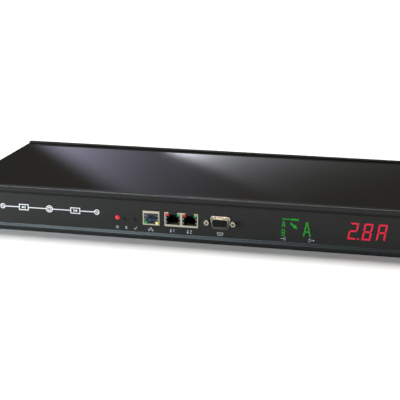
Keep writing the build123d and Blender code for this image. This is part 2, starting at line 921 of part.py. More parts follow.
def button_cap(x):
    """A round cap with a collar behind the panel that keeps it from falling out."""
    front = panel_y + button_setback
    cap = rod_y(button_radius, x, (front, front + button_length), button_z)
    cap = fillet(cap.edges().sort_by(Axis.Y)[0], radius=button_round)
    collar_y = panel_back + switch_gap
    return cap + rod_y(button_collar_radius, x, (collar_y, front + button_length), button_z)


def plunger_y():
    """Y where the cap ends and the switch's plunger starts."""
    return panel_y + button_setback + button_length


def plunger(x):
    """The switch's plunger, from the cap into the switch."""
    start = plunger_y()
    return rod_y(plunger_radius, x, (start, start + plunger_length), button_z)


def button_switches():
    """Two upright switches on the board, each with a bore for its plunger."""
    start = plunger_y() + button_travel + switch_gap
    switches = []
    for x in button_x:
        z = (board_top, board_top + switch_height)
        body = block(span(x, switch_width), (start, start + switch_depth), z)
        body = fillet(body.edges().filter_by(Axis.Y), radius=switch_round)
        bore_end = plunger_y() + plunger_length + button_travel + switch_gap
        body -= rod_y(plunger_radius + plunger_gap, x, (start - 1, bore_end), button_z)
        switches.append(body)
    return group(switches)


# Readout and flow symbol


def leaning(x, z):
    """Moves a point of a digit sideways by its height, for the digit's slant."""
    return x + (z - readout_z) * tan(radians(digit_slant)), z


def bar(x, z, length, upright, corner):
    """A bar of a digit about its middle, leaning with the digit; its corner side is square and long.

    The corner is -1 or 1 for the side on which the outer edge lies, or 0 for a bar pointed at both ends.
    An upright bar has its corner at one end only, so the corner then says which end.
    """
    half, point = length / 2 - stroke_gap, stroke / 2
    if corner and not upright:
        long_side, short_side = half + point, half - point
        outline = [(-long_side, point), (long_side, point), (short_side, -point), (-short_side, -point)]
        outline = [(a, b * corner) for a, b in outline]
    elif corner:
        end, side_x = corner[0], corner[1]
        outline = [
            (side_x * point, end * (half + point)),
            (-side_x * point, end * (half - point)),
            (-side_x * point, -end * (half - point)),
            (0, -end * half),
            (side_x * point, -end * (half - point)),
        ]
    else:
        outline = [(-half, 0), (point - half, point), (half - point, point)]
        outline += [(-a, -b) for a, b in outline]
    points = [leaning(x + a, z + b) for a, b in outline]
    with BuildSketch() as sketch:
        with BuildLine():
            Polyline(points, close=True)
        make_face()
    return facing_front(sketch.sketch, panel_front, inlay_depth)


def digit(x, lit):
    """The lit bars of one digit; each bar has its usual letter from a to g."""
    wide, half = digit_width, digit_height / 2
    places = {
        "a": (0, half, 1),
        "b": (wide / 2, half / 2, (1, 1)),
        "c": (wide / 2, -half / 2, (-1, 1)),
        "d": (0, -half, -1),
        "e": (-wide / 2, -half / 2, (-1, -1)),
        "f": (-wide / 2, half / 2, (1, -1)),
        "g": (0, 0, 0),
    }
    pieces = []
    for name in lit:
        dx, dz, corner = places[name]
        upright = isinstance(corner, tuple)
        pieces.append(bar(x + dx, readout_z + dz, half if upright else wide, upright, corner))
    return pieces


def display_segments():
    """Three lit digits and the point between the first two."""
    pieces = []
    for step, lit in enumerate(("abged", "abcdefg", "abcefg")):
        pieces += digit(digit_middle_x + (step - 1) * digit_pitch, lit)
    dot_x, dot_z = leaning(digit_middle_x - dot_offset, readout_z - digit_height / 2)
    pieces.append(rod_y(stroke * 0.55, dot_x, (panel_front, panel_front + inlay_depth), dot_z))
    return group(pieces)


def display_back():
    """Y of the front of the display board."""
    return panel_back + port_radius * 2 + display_board_back


def display_module():
    """The readout's black block, its face in line with the film."""
    y = (panel_front, display_back())
    face = block(span(readout_x, readout_width), y, span(readout_z, readout_height))
    return face - display_segments().solids()


def stroke_between(start, end, width):
    """A straight lit bar between two points of the flow symbol."""
    length = hypot(end[0] - start[0], end[1] - start[1])
    line = Rectangle(length, width)
    middle = ((start[0] + end[0]) / 2, (start[1] + end[1]) / 2)
    turn = degrees(atan2(end[1] - start[1], end[0] - start[0]))
    return facing_front(Pos(*middle) * Rot(0, 0, turn) * line, panel_front, inlay_depth)


def flow_lights():
    """Lit dashes and the arrow that points from the feeds to the outlet."""
    dash_z = flow_z + dash_height
    dashes = [
        stroke_between((flow_x + short_dash[0], dash_z), (flow_x + short_dash[1], dash_z), thin_dash),
        stroke_between((flow_x + long_dash[0], dash_z), (flow_x + long_dash[1], dash_z), thick_dash),
    ]
    tail, tip = [(flow_x + across, flow_z + up) for across, up in (arrow_tail, arrow_tip)]
    length = hypot(tip[0] - tail[0], tip[1] - tail[1])
    turn = degrees(atan2(tip[1] - tail[1], tip[0] - tail[0]))
    neck, half = length - arrow_head, arrow_head / 2
    with BuildSketch() as arrow:
        with BuildLine():
            Polyline(
                [(0, thin_dash / 2), (neck, thin_dash / 2), (neck, half), (length, 0), (neck, -half)]
                + [(neck, -thin_dash / 2), (0, -thin_dash / 2)],
                close=True,
            )
        make_face()
    placed = Pos(*tail) * Rot(0, 0, turn) * arrow.sketch
    return group(dashes + [facing_front(placed, panel_front, inlay_depth)])


def flow_display():
    """The flow symbol's black block, its face in line with the film."""
    face = block(span(flow_x, flow_width), (panel_front, display_back()), span(flow_z, flow_height))
    return face - flow_lights().solids()


def display_board():
    """Upright board behind the readout and the flow symbol."""
    low, high = tray_top + slide_gap, shelf_top - shelf_thickness - slide_gap
    x = (flow_x - flow_width / 2 - display_board_left, readout_x + readout_width / 2 + display_board_right)
    start = display_back()
    return block(x, (start, start + board_thickness), (low + thread_gap, high))


# Boards


def control_board():
    """Level board that carries the sockets, the buttons and the processor."""
    x = span(control_board_x, control_board_width)
    board = block(x, (control_front, control_back), (board_under, board_top))
    return board - pillar_holes(control_pillars())


def pillar_holes(places):
    """Screw holes through a level board at its pillars."""
    return [rod_z(m3_radius + slide_gap / 2, x, y, (0, unit_height)) for x, y in places]


def control_pillars():
    """X and Y of the pillars under the control board."""
    y = (control_front + control_pillar_front, control_back - control_pillar_back)
    ends = span(control_board_x, control_board_width - 2 * control_pillar_side)
    return [(x, place) for x in ends for place in y]


def power_pillars():
    """X and Y of the pillars under the power board: at its ends and between its bays."""
    y = (power_front + pillar_inset, power_back - pillar_inset)
    ends = power_board_width / 2 - pillar_inset
    return [(x, place) for x in (-ends, after_chokes, after_relays, ends) for place in y]


def board_pillars():
    """Spacer pillars from the tray to both level boards."""
    pillars = [rod_z(pillar_radius, x, y, (tray_top, board_under)) for x, y in control_pillars()]
    pillars += [rod_z(pillar_radius, x, y, (tray_top, power_board_z)) for x, y in power_pillars()]
    places = control_pillars() + power_pillars()
    bores = [rod_z(m3_radius + thread_gap, x, y, (tray_top, unit_height)) for x, y in places]
    return group([pillar - bore for pillar, bore in zip(pillars, bores)])


def power_board():
    """Level board of the power parts."""
    board = block(span(0, power_board_width), (power_front, power_back), (power_board_z, power_top))
    return board - pillar_holes(power_pillars())


def insulating_sheet():
    """Thin sheet on the tray under the power board, open round its pillars and over the tray's vents."""
    y = (power_front + insulation_margin, power_back - insulation_margin)
    width = power_board_width - 2 * insulation_margin
    film = block(span(0, width), y, (tray_top, tray_top + insulation))
    through = (tray_top - 1, tray_top + 1)
    for x, place in power_pillars():
        film -= rod_z(pillar_radius + slide_gap, x, place, through)
    opening_width = floor_vent_columns * vent_pitch + vent_width
    for row in module_y:
        opening_y = span(row, floor_vent_length + 2 * insulation_opening)
        film -= block(span(sink_x, opening_width), opening_y, through)
    return film


def control_chips():
    """Processor, memory and network chips and a filter block, in a row behind the sockets."""
    reach = control_board_width / 2 - chip_side_margin
    places = laid_out([size[0] for size in chip_sizes], control_board_x - reach, control_board_x + reach)
    sockets_back = panel_y - jack_proud + jack_depth
    y = (sockets_back + control_back - chip_back_margin) / 2
    chips = []
    for x, (width, length, height) in zip(places, chip_sizes):
        chip = block(span(x, width), span(y, length), (board_top, board_top + height))
        chips.append(chamfer(chip.edges().group_by(Axis.Z)[-1], length=chip_chamfer))
    return group(chips)


def ribbon_cable():
    """Flat cable from the control board's edge connector to the display board."""
    start_x = control_board_x + control_board_width / 2 - ribbon_inset
    end_x = flow_x - flow_width / 2 + ribbon_thickness
    y = display_back() + board_thickness
    rise = board_top + ribbon_rise
    half = ribbon_thickness / 2
    route = [(start_x, board_top + half), (start_x, rise), (end_x, rise), (end_x, rise + ribbon_end_rise)]
    with BuildSketch(Plane.XZ) as strip:
        with BuildLine():
            FilletPolyline(*route, radius=ribbon_bend)
            offset(amount=half, side=Side.BOTH)
        make_face()
    return Pos(0, y, 0) * extrude(strip.sketch, amount=-ribbon_width)


# Inlets and outlet in the rear rail


def connector_flange(x):
    """Flange and body of a connector, in the rear rail's recess."""
    face = rear - panel_recess
    out = face + connector_flange_thickness
    plate = block(span(x, connector_flange_width), (face, out), span(connector_z, connector_flange_height))
    plate = fillet(plate.edges().filter_by(Axis.Y), radius=cavity_radius)
    inner = face - connector_body_depth
    body = block(span(x, connector_body_width), (inner, face), span(connector_z, connector_body_height))
    whole = plate + body
    for screw_x in span(x, connector_screw_spacing):
        hole = rod_y(m3_radius + slide_gap / 2, 0, (0, connector_flange_thickness), 0)
        cone = Cone(m3_radius + slide_gap / 2, m3_head_radius + slide_gap / 2, m3_countersink)
        cone = Pos(0, connector_flange_thickness - m3_countersink / 2, 0) * Rot(-90, 0, 0) * cone
        whole -= Pos(screw_x, face, connector_z) * (hole + cone)
    return whole


def rounded_pocket(x, width, height, radius, depth):
    """A rounded rectangular pocket from a connector's outer face inwards."""
    out = rear - panel_recess + connector_flange_thickness
    return Pos(x, 0, connector_z) * facing_front(RectangleRounded(width, height, radius), out - depth, depth)


def blade_places(x):
    """X and Z of the two line blades and the earth blade."""
    low = connector_z - earth_offset / 2
    return [(x - line_spacing / 2, low), (x + line_spacing / 2, low), (x, low + earth_offset)]


def blade_slot(x, z, y, clearance):
    """A flat blade, or with a clearance the slot round it."""
    return block(span(x, blade_width + clearance), y, span(z, blade_thickness + clearance))


def cavity_floor():
    """Y of the bottom of an inlet's cavity."""
    return rear - panel_recess + connector_flange_thickness - cavity_depth


def inlet_body(x):
    """An inlet: a deep rounded cavity round three flat blades."""
    body = connector_flange(x) - rounded_pocket(x, cavity_width, cavity_height, cavity_radius, cavity_depth)
    for blade_x, z in blade_places(x):
        body -= blade_slot(blade_x, z, (tails_end, cavity_floor() + 1), 0)
    return body


def inlet_blades():
    """The three flat blades of both inlets, with their tails inside."""
    blades = []
    for x in inlet_x:
        for blade_x, z in blade_places(x):
            blade = blade_slot(blade_x, z, (tails_end, cavity_floor() + blade_length), 0)
            tip = blade.faces().sort_by(Axis.Y)[-1].edges().filter_by(Axis.Z)
            blades.append(chamfer(tip, length=blade_chamfer))
    return group(blades)


def outlet_body():
    """The outlet: a rounded core with three slots inside a narrow moat."""
    body = connector_flange(outlet_x)
    moat = rounded_pocket(outlet_x, cavity_width, cavity_height, cavity_radius, cavity_depth)
    moat -= rounded_pocket(outlet_x, core_width, core_height, cavity_radius - 1, cavity_depth)
    body -= moat
    out = rear - panel_recess + connector_flange_thickness
    for x, z in blade_places(outlet_x):
        body -= blade_slot(x, z, (tails_end, out + 1), contact_slot_gap)
    return body


def outlet_contacts():
    """Sprung sleeves inside the outlet's slots, with their tails inside."""
    out = rear - panel_recess + connector_flange_thickness
    sleeves = []
    for x, z in blade_places(outlet_x):
        sleeve = blade_slot(x, z, (tails_end, out - contact_setback), contact_slot_gap)
        sleeves.append(sleeve - blade_slot(x, z, (tails_end + blade_tail, out), contact_play))
    return group(sleeves)


def connector_screws():
    """Countersunk screws of the three connectors, each with its nut inside."""
    face = rear - panel_recess + connector_flange_thickness
    screws = []
    for x in inlet_x + (outlet_x,):
        for screw_x in span(x, connector_screw_spacing):
            screw = Pos(screw_x, face, connector_z) * Rot(-90, 0, 0) * countersunk_screw()
            nut = RegularPolygon(m3_head_radius, 6, major_radius=False)
            nut = facing_front(nut, rear - panel_back - connector_nut, connector_nut)
            screws.append(screw + Pos(screw_x, 0, connector_z) * nut)
    return group(screws)


# Power parts


def thyristor_modules():
    """Four flat modules, two for each feed, between the board and the heat sink."""
    modules = []
    for x in module_x:
        for y in module_y:
            low = power_top
            body = block(span(x, module_length), span(y, module_width), (low, low + module_height))
            modules.append(fillet(body.edges().filter_by(Axis.Z), radius=module_corner))
    return group(modules)


def heat_sink():
    """Extruded heat sink: a base on the modules and upright fins along the air's way."""
    low = power_top + module_height
    y = (rows_front, rows_back)
    sink = block(span(sink_x, sink_length), y, (low, low + sink_base))
    fins = int((sink_length - sink_fin) // sink_fin_pitch) + 1
    first = sink_x - (fins - 1) * sink_fin_pitch / 2
    for step in range(fins):
        fin_x = span(first + step * sink_fin_pitch, sink_fin)
        sink += block(fin_x, y, (low + sink_base, low + sink_height))
    return sink


def on_power_board(size, x, y):
    """A plain part of the given size standing on the power board."""
    low = power_top
    return block(span(x, size[0]), span(y, size[1]), (low, low + size[2]))


def relay_rows():
    """Y of the two rows of relays and of the smoothing capacitors behind them."""
    return laid_out([relay_size[1], relay_size[1], 2 * can_radius], rows_front, rows_back)


def bypass_relays():
    """Four relays that can bypass the modules."""
    relays = []
    for x in relay_x:
        for y in relay_rows()[:2]:
            relay = on_power_board(relay_size, x, y)
            relays.append(fillet(relay.edges().group_by(Axis.Z)[-1], radius=small_round))
    return group(relays)


def bulk_capacitors():
    """Four upright smoothing capacitors, two behind each column of relays."""
    y = relay_rows()[2]
    cans = []
    for middle in relay_x:
        for x in span(middle, can_pitch):
            can = rod_z(can_radius, x, y, (power_top, power_top + can_height))
            cans.append(fillet(can.edges().sort_by(Axis.Z)[-1], radius=small_round))
    return group(cans)


def filter_rows():
    """Y of a filter's choke and of the two box capacitors behind it."""
    return laid_out([2 * choke_radius, box_capacitor_size[1], box_capacitor_size[1]], rows_front, rows_back)


def filter_chokes():
    """Two ring chokes, one for each feed."""
    y = filter_rows()[0]
    chokes = []
    for x in choke_x:
        ring = rod_z(choke_radius, x, y, (power_top, power_top + choke_height))
        ring -= rod_z(choke_bore_radius, x, y, (power_top, power_top + choke_height))
        chokes.append(fillet(ring.edges().filter_by(GeomType.CIRCLE), radius=choke_round))
    return group(chokes)


def filter_capacitors():
    """Box capacitors of the two line filters."""
    boxes = [on_power_board(box_capacitor_size, x, y) for x in choke_x for y in filter_rows()[1:]]
    return group([fillet(box.edges().filter_by(Axis.Z), radius=small_round) for box in boxes])


def fuse_rows():
    """Y of the varistors, the two fuses, the sensor's wire where it drops, and the current sensor."""
    depths = [2 * varistor_radius, 2 * fuse_radius, 2 * fuse_radius, wire_drop, sensor_ring_length]
    return laid_out(depths, rows_front, rows_back)


def varistors():
    """A row of disc varistors at the feeds."""
    discs = []
    for step in range(varistor_count):
        x = fuse_x + (step - (varistor_count - 1) / 2) * varistor_pitch
        disc_x = span(x, varistor_thickness)
        discs.append(rod_x(varistor_radius, disc_x, fuse_rows()[0], power_top + varistor_radius))
    return group(discs)


def power_fuses():
    """Two cartridge fuses, each in two clips."""
    middle_z = power_top + fuse_radius + fuse_lift
    fuses = []
    for y in fuse_rows()[1:3]:
        tube = rod_x(fuse_radius, span(fuse_x, fuse_length), y, middle_z)
        for x in span(fuse_x, fuse_length - 2 * fuse_clip_inset):
            tube += block(span(x, fuse_clip_length), span(y, fuse_clip_width), (power_top, middle_z))
        fuses.append(tube)
    return group(fuses)


def supply_transformers():
    """Two small potted transformers, so that either feed can run the electronics."""
    blocks = []
    for y in laid_out([transformer_size[1]] * 2, rows_front, rows_back):
        body = on_power_board(transformer_size, transformer_x, y)
        blocks.append(fillet(body.edges().group_by(Axis.Z)[-1], radius=transformer_round))
    return group(blocks)


def current_sensor():
    """Ring-shaped current sensor that the outlet's line wire passes through."""
    y = span(fuse_rows()[4], sensor_ring_length)
    middle = power_top + sensor_ring_radius
    ring = rod_y(sensor_ring_radius, fuse_x, y, middle)
    return ring - rod_y(sensor_ring_bore, fuse_x, y, middle)


def mains_leads():
    """Insulated wires from the blades' tails down to the power board; one passes the current sensor."""
    landing = power_back - wire_inset
    wires = []
    for x in inlet_x + (outlet_x,):
        for index, (wire_x, z) in enumerate(blade_places(x)):
            sensed = x == outlet_x and index == 0
            end_y = fuse_rows()[3] if sensed else landing
            start, corner, foot = (wire_x, tails_end, z), (wire_x, end_y, z), (wire_x, end_y, power_top)
            path = FilletPolyline(start, corner, foot, radius=wire_bend)
            section = Plane(origin=start, z_dir=(0, -1, 0)) * Circle(wire_radius)
            wires.append(sweep(section, path=path))
    return group(wires)


def main():
    """Builds every piece and writes one file for each."""
    lan_shield, lan_body, lan_contacts, lan_green, lan_yellow = lan_jack()
    sensor_shield, sensor_body, sensor_contacts, sensor_red, sensor_green = sensor_jack()
    pieces = {
        "front_profile": front_profile(),
        "rear_profile": rear_profile(),
        "front_film": front_film(),
        "base_tray": base_tray(),
        "top_cover": top_cover(),
        "left_rack_ear": rack_ear(-1),
        "right_rack_ear": rack_ear(1),
        "countersunk_screws": countersunk_screws(),
        "pan_head_screws": pan_head_screws(),
        "rack_ear_screws": rack_ear_screws(),
        "lan_jack_shield": lan_shield,
        "lan_jack_body": lan_body,
        "lan_jack_contacts": lan_contacts,
        "lan_green_light": lan_green,
        "lan_yellow_light": lan_yellow,
        "sensor_jack_shield": sensor_shield,
        "sensor_jack_body": sensor_body,
        "sensor_jack_contacts": sensor_contacts,
        "sensor_red_lights": sensor_red,
        "sensor_green_lights": sensor_green,
        "serial_port_shell": serial_port_shell(),
        "serial_port_insert": serial_port_insert(),
        "serial_port_contacts": serial_port_contacts(),
        "serial_jackscrews": serial_jackscrews(),
        "status_light": status_light(),
        "status_light_leads": status_light_leads(),
        "select_button": button_cap(button_x[0]),
        "ok_button": button_cap(button_x[1]),
        "select_plunger": plunger(button_x[0]),
        "ok_plunger": plunger(button_x[1]),
        "button_switches": button_switches(),
        "display_segments": display_segments(),
        "display_module": display_module(),
        "flow_lights": flow_lights(),
        "flow_display": flow_display(),
        "display_board": display_board(),
        "control_board": control_board(),
        "control_chips": control_chips(),
        "board_pillars": board_pillars(),
        "ribbon_cable": ribbon_cable(),
        "power_board": power_board(),
        "insulating_sheet": insulating_sheet(),
        "inlet_a_body": inlet_body(inlet_x[0]),
        "inlet_b_body": inlet_body(inlet_x[1]),
        "inlet_blades": inlet_blades(),
        "outlet_body": outlet_body(),
        "outlet_contacts": outlet_contacts(),
        "connector_screws": connector_screws(),
        "thyristor_modules": thyristor_modules(),
        "heat_sink": heat_sink(),
        "bypass_relays": bypass_relays(),
        "filter_chokes": filter_chokes(),
        "filter_capacitors": filter_capacitors(),
        "varistors": varistors(),
        "power_fuses": power_fuses(),
        "supply_transformers": supply_transformers(),
        "bulk_capacitors": bulk_capacitors(),
        "current_sensor": current_sensor(),
        "mains_leads": mains_leads(),
    }
    os.makedirs("parts", exist_ok=True)
    for name, piece in pieces.items():
        placed = Pos(0, front_y, 0) * piece
        export_step(placed, f"parts/{name}.step")


main()
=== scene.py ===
"""Looks of the rack static transfer switch: finishes, printed marks, lit symbols, light and camera.

Everything is in metres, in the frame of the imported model: X to the right seen from the front, Y from
front to back, Z up, with the origin in the middle of the underside. Only the marks on the front are drawn
in millimetres, as points (x, z) of the same frame.
"""

import json
import math

import bmesh
import bpy
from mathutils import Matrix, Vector


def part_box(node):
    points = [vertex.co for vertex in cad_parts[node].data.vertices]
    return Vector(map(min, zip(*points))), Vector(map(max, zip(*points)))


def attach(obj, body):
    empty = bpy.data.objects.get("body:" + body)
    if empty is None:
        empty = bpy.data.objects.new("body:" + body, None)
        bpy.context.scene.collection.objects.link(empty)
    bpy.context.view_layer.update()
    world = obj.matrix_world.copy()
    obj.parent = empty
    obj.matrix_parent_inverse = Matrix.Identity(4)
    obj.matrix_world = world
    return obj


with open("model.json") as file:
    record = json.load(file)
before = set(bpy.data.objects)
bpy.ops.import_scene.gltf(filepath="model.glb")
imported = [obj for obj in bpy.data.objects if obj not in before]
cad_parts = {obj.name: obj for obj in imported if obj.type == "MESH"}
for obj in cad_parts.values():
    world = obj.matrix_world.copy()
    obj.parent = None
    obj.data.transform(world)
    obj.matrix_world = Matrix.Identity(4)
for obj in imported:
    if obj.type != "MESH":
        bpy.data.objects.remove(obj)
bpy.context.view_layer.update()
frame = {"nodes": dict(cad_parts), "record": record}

MM = 0.001

# Camera, worked out from the photograph: direction of view, place and focal length
view_azimuth = 13.723
view_elevation = 15.311
eye_from_lip = Vector((278.36, -1058.48, 340.36)) * MM
focal_pixels = 1227.1
frame_pixels = 400
sensor_width = 36.0
clip_near = 0.05
clip_far = 50

# Places on the front, read from the frame
lip_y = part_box("front_profile")[0].y
panel_front_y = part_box("front_film")[0].y
socket_face_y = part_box("lan_jack_shield")[0].y

# Thickness of what is laid on the front
ink_thickness = 0.03 * MM
glow_thickness = 0.06 * MM
socket_face_thickness = 0.06 * MM
spring_thickness = 0.25 * MM

# Noise: the usual range of its values, its roughness, and its detail in fine grain and in lumps
noise_low, noise_high = 0.25, 0.75
noise_roughness = 0.55
fine_detail, lump_detail = 3.0, 4.0
lump_share = 0.15
rough_swing = 0.12

# Relief of the finishes, and the radius to which the edges of a rail are shaded
bump_strength = 0.6
smooth_relief = 0.01 * MM
grained_relief = 0.02 * MM
ribbon_relief = 0.1 * MM
winding_relief = 0.2 * MM
rail_edge = 1.2 * MM
edge_samples = 8


# Shader helpers


def empty_material(name):
    """A new material with its output alone."""
    material = bpy.data.materials.new(name)
    material.use_nodes = True
    tree = material.node_tree
    tree.nodes.clear()
    return material, tree, tree.nodes.new("ShaderNodeOutputMaterial")


def shaded_material(name):
    """A new material with its output and its shader joined."""
    material, tree, output = empty_material(name)
    shader = tree.nodes.new("ShaderNodeBsdfPrincipled")
    tree.links.new(shader.outputs["BSDF"], output.inputs["Surface"])
    return material, tree, shader


def object_place(tree):
    """The place in object space, as outputs X, Y and Z."""
    place = tree.nodes.new("ShaderNodeTexCoord")
    parts = tree.nodes.new("ShaderNodeSeparateXYZ")
    tree.links.new(place.outputs["Object"], parts.inputs["Vector"])
    return parts.outputs


def noise(tree, scale, stretch=(1, 1, 1), detail=fine_detail):
    """Noise in object space, in lumps of about 1/scale metres, stretched along the axes."""
    place = tree.nodes.new("ShaderNodeTexCoord")
    mapping = tree.nodes.new("ShaderNodeMapping")
    mapping.inputs["Scale"].default_value = stretch
    tree.links.new(place.outputs["Object"], mapping.inputs["Vector"])
    texture = tree.nodes.new("ShaderNodeTexNoise")
    texture.inputs["Scale"].default_value = scale
    texture.inputs["Detail"].default_value = detail
    texture.inputs["Roughness"].default_value = noise_roughness
    tree.links.new(mapping.outputs["Vector"], texture.inputs["Vector"])
    return texture.outputs["Fac"]


def ramp(tree, value, start, end, low=0.0, high=1.0, curve="SMOOTHSTEP"):
    """A change from low to high while a value goes from start to end."""
    ranged = tree.nodes.new("ShaderNodeMapRange")
    ranged.interpolation_type = curve
    ranged.inputs["From Min"].default_value = start
    ranged.inputs["From Max"].default_value = end
    ranged.inputs["To Min"].default_value = low
    ranged.inputs["To Max"].default_value = high
    tree.links.new(value, ranged.inputs["Value"])
    return ranged.outputs["Result"]


def spread(tree, value, low, high):
    """Maps a noise value to the range from low to high."""
    return ramp(tree, value, noise_low, noise_high, low, high, "LINEAR")


def uneven(tree, value, level):
    """A level that a noise value varies a little to both sides."""
    return spread(tree, value, level * (1 - rough_swing), level * (1 + rough_swing))


def two_tones(tree, value, first, second):
    """Mixes two colours by a value. The second one may come from another node."""
    mix = tree.nodes.new("ShaderNodeMix")
    mix.data_type = "RGBA"
    mix.inputs["A"].default_value = (*first, 1)
    if isinstance(second, bpy.types.NodeSocket):
        tree.links.new(second, mix.inputs["B"])
    else:
        mix.inputs["B"].default_value = (*second, 1)
    tree.links.new(value, mix.inputs["Factor"])
    return mix.outputs["Result"]


def scaled(colour, share):
    """A colour at a share of its strength."""
    return [part * share for part in colour]


def add_bump(tree, shader, value, distance):
    """Adds fine relief from a noise value."""
    bump = tree.nodes.new("ShaderNodeBump")
    bump.inputs["Strength"].default_value = bump_strength
    bump.inputs["Distance"].default_value = distance
    tree.links.new(value, bump.inputs["Height"])
    tree.links.new(bump.outputs["Normal"], shader.inputs["Normal"])
    return bump


def soften_edges(tree, bump, radius):
    """Shades the edges of a piece under its relief as if they were rounded a little more."""
    edge = tree.nodes.new("ShaderNodeBevel")
    edge.samples = edge_samples
    edge.inputs["Radius"].default_value = radius
    tree.links.new(edge.outputs["Normal"], bump.inputs["Normal"])


# Finishes


def finish(name, colour, rough, metallic=0.0, specular=0.5, tone=0.12, grain=300.0, stretch=(1, 1, 1),
           relief=0.0, edge=0.0):
    """A solid finish: two close tones in lumps, with uneven roughness and relief of one fine grain."""
    material, tree, shader = shaded_material(name)
    lumps = noise(tree, grain * lump_share, stretch, lump_detail)
    fine = noise(tree, grain, stretch)
    light = [min(1.0, part) for part in scaled(colour, 1 + tone)]
    tree.links.new(two_tones(tree, lumps, scaled(colour, 1 - tone), light), shader.inputs["Base Color"])
    tree.links.new(uneven(tree, fine, rough), shader.inputs["Roughness"])
    shader.inputs["Metallic"].default_value = metallic
    shader.inputs["Specular IOR Level"].default_value = specular
    if relief:
        bump = add_bump(tree, shader, fine, relief)
        if edge:
            soften_edges(tree, bump, edge)
    return material


window_grain = 900.0
window_specular = 0.2
window_rough = (0.25, 0.35)
dimmest_body = 0.8
dimmest_light = 0.92


def lit(name, colour, strength, body):
    """A lit window: its own light over a glossy body, both a little uneven."""
    material, tree, shader = shaded_material(name)
    fine = noise(tree, window_grain)
    tree.links.new(two_tones(tree, fine, scaled(body, dimmest_body), body), shader.inputs["Base Color"])
    glow = two_tones(tree, fine, scaled(colour, dimmest_light), colour)
    tree.links.new(glow, shader.inputs["Emission Color"])
    tree.links.new(spread(tree, fine, *window_rough), shader.inputs["Roughness"])
    shader.inputs["Specular IOR Level"].default_value = window_specular
    shader.inputs["Emission Strength"].default_value = strength
    return material


along_rail = (0.04, 1, 1)
panel_black = dict(colour=(0.0225, 0.022, 0.0195), rough=0.5, specular=0.17, grain=2200, relief=smooth_relief)

# Solid finishes by the material slot of the model
slot_solids = {
    "rail_black": dict(colour=(0.0185, 0.018, 0.0165), rough=0.21, specular=0.22, grain=500,
                       stretch=along_rail, relief=grained_relief, edge=rail_edge),
    "cover_black": dict(colour=(0.0205, 0.0198, 0.0170), rough=0.05, specular=0.3, grain=1600),
    "film_black": panel_black,
    "screw_black": dict(colour=(0.02, 0.02, 0.02), rough=0.35, metallic=0.5, grain=1200,
                        relief=grained_relief),
    "steel": dict(colour=(0.55, 0.55, 0.53), rough=0.32, metallic=1.0, grain=900, relief=smooth_relief),
    "jack_metal": dict(colour=(0.64, 0.55, 0.42), rough=0.32, metallic=0.9, grain=1500,
                       stretch=(1, 1, 0.2), relief=smooth_relief),
    "jack_plastic": dict(colour=(0.010, 0.011, 0.013), rough=0.45, specular=0.25, grain=1500,
                         relief=smooth_relief),
    "contact_gold": dict(colour=(0.50, 0.35, 0.15), rough=0.25, metallic=1.0, grain=2500),
    "serial_metal": dict(colour=(0.66, 0.59, 0.49), rough=0.26, metallic=0.95, grain=1500,
                         relief=smooth_relief),
    "button_black": dict(colour=(0.012, 0.012, 0.012), rough=0.35, grain=2500, relief=smooth_relief),
    "display_black": panel_black,
    "board_green": dict(colour=(0.02, 0.14, 0.06), rough=0.3, grain=700, relief=grained_relief),
    "chip_black": dict(colour=(0.02, 0.02, 0.02), rough=0.45, grain=2500, relief=smooth_relief),
    "ribbon_grey": dict(colour=(0.4, 0.4, 0.43), rough=0.5, grain=900, stretch=(1, 8, 1),
                        relief=ribbon_relief),
    "insulator": dict(colour=(0.75, 0.73, 0.66), rough=0.4, grain=300),
    "connector_black": dict(colour=(0.014, 0.014, 0.015), rough=0.42, grain=1800, relief=grained_relief),
    "blade_nickel": dict(colour=(0.66, 0.63, 0.58), rough=0.22, metallic=1.0, grain=1200,
                         stretch=(1, 0.1, 1)),
    "module_black": dict(colour=(0.025, 0.025, 0.027), rough=0.5, grain=1200, relief=grained_relief),
    "sink_aluminium": dict(colour=(0.72, 0.72, 0.74), rough=0.35, metallic=1.0, grain=700,
                           stretch=(1, 0.05, 1), relief=grained_relief),
    "relay_blue": dict(colour=(0.03, 0.09, 0.35), rough=0.4, grain=900, relief=smooth_relief),
    "choke_copper": dict(colour=(0.55, 0.2, 0.08), rough=0.3, metallic=0.8, grain=400,
                         stretch=(1, 1, 0.1), relief=winding_relief),
    "capacitor_yellow": dict(colour=(0.75, 0.5, 0.06), rough=0.4, grain=900),
    "varistor_blue": dict(colour=(0.03, 0.08, 0.4), rough=0.35, grain=900, relief=grained_relief),
    "fuse_white": dict(colour=(0.8, 0.78, 0.72), rough=0.3, grain=500),
    "transformer_black": dict(colour=(0.03, 0.03, 0.034), rough=0.5, grain=900, relief=grained_relief),
    "can_black": dict(colour=(0.05, 0.05, 0.07), rough=0.35, grain=500),
    "wire_brown": dict(colour=(0.16, 0.06, 0.03), rough=0.45, grain=900),
}

# Lit windows by the material slot of the model
slot_lights = {
    "lamp_green": dict(colour=(0.05, 0.42, 0.10), strength=0.25, body=(0.05, 0.35, 0.12)),
    "lamp_yellow": dict(colour=(1.0, 0.78, 0.22), strength=0.6, body=(0.7, 0.55, 0.12)),
    "lamp_red": dict(colour=(0.9, 0.03, 0.02), strength=0.3, body=(0.6, 0.03, 0.02)),
    "segment_red": dict(colour=(1.0, 0.020, 0.062), strength=0.74, body=(0.05, 0.004, 0.006)),
    "symbol_green": dict(colour=(0.016, 0.40, 0.022), strength=0.77, body=(0.005, 0.03, 0.008)),
}

finishes = {name: finish(name, **settings) for name, settings in slot_solids.items()}
finishes.update({name: lit(name, **settings) for name, settings in slot_lights.items()})

ink_pale = finish("ink_pale", colour=(0.62, 0.63, 0.65), rough=0.5, grain=3000, tone=0.05)
ink_white = finish("ink_white", colour=(0.82, 0.83, 0.84), rough=0.5, grain=3000, tone=0.04)

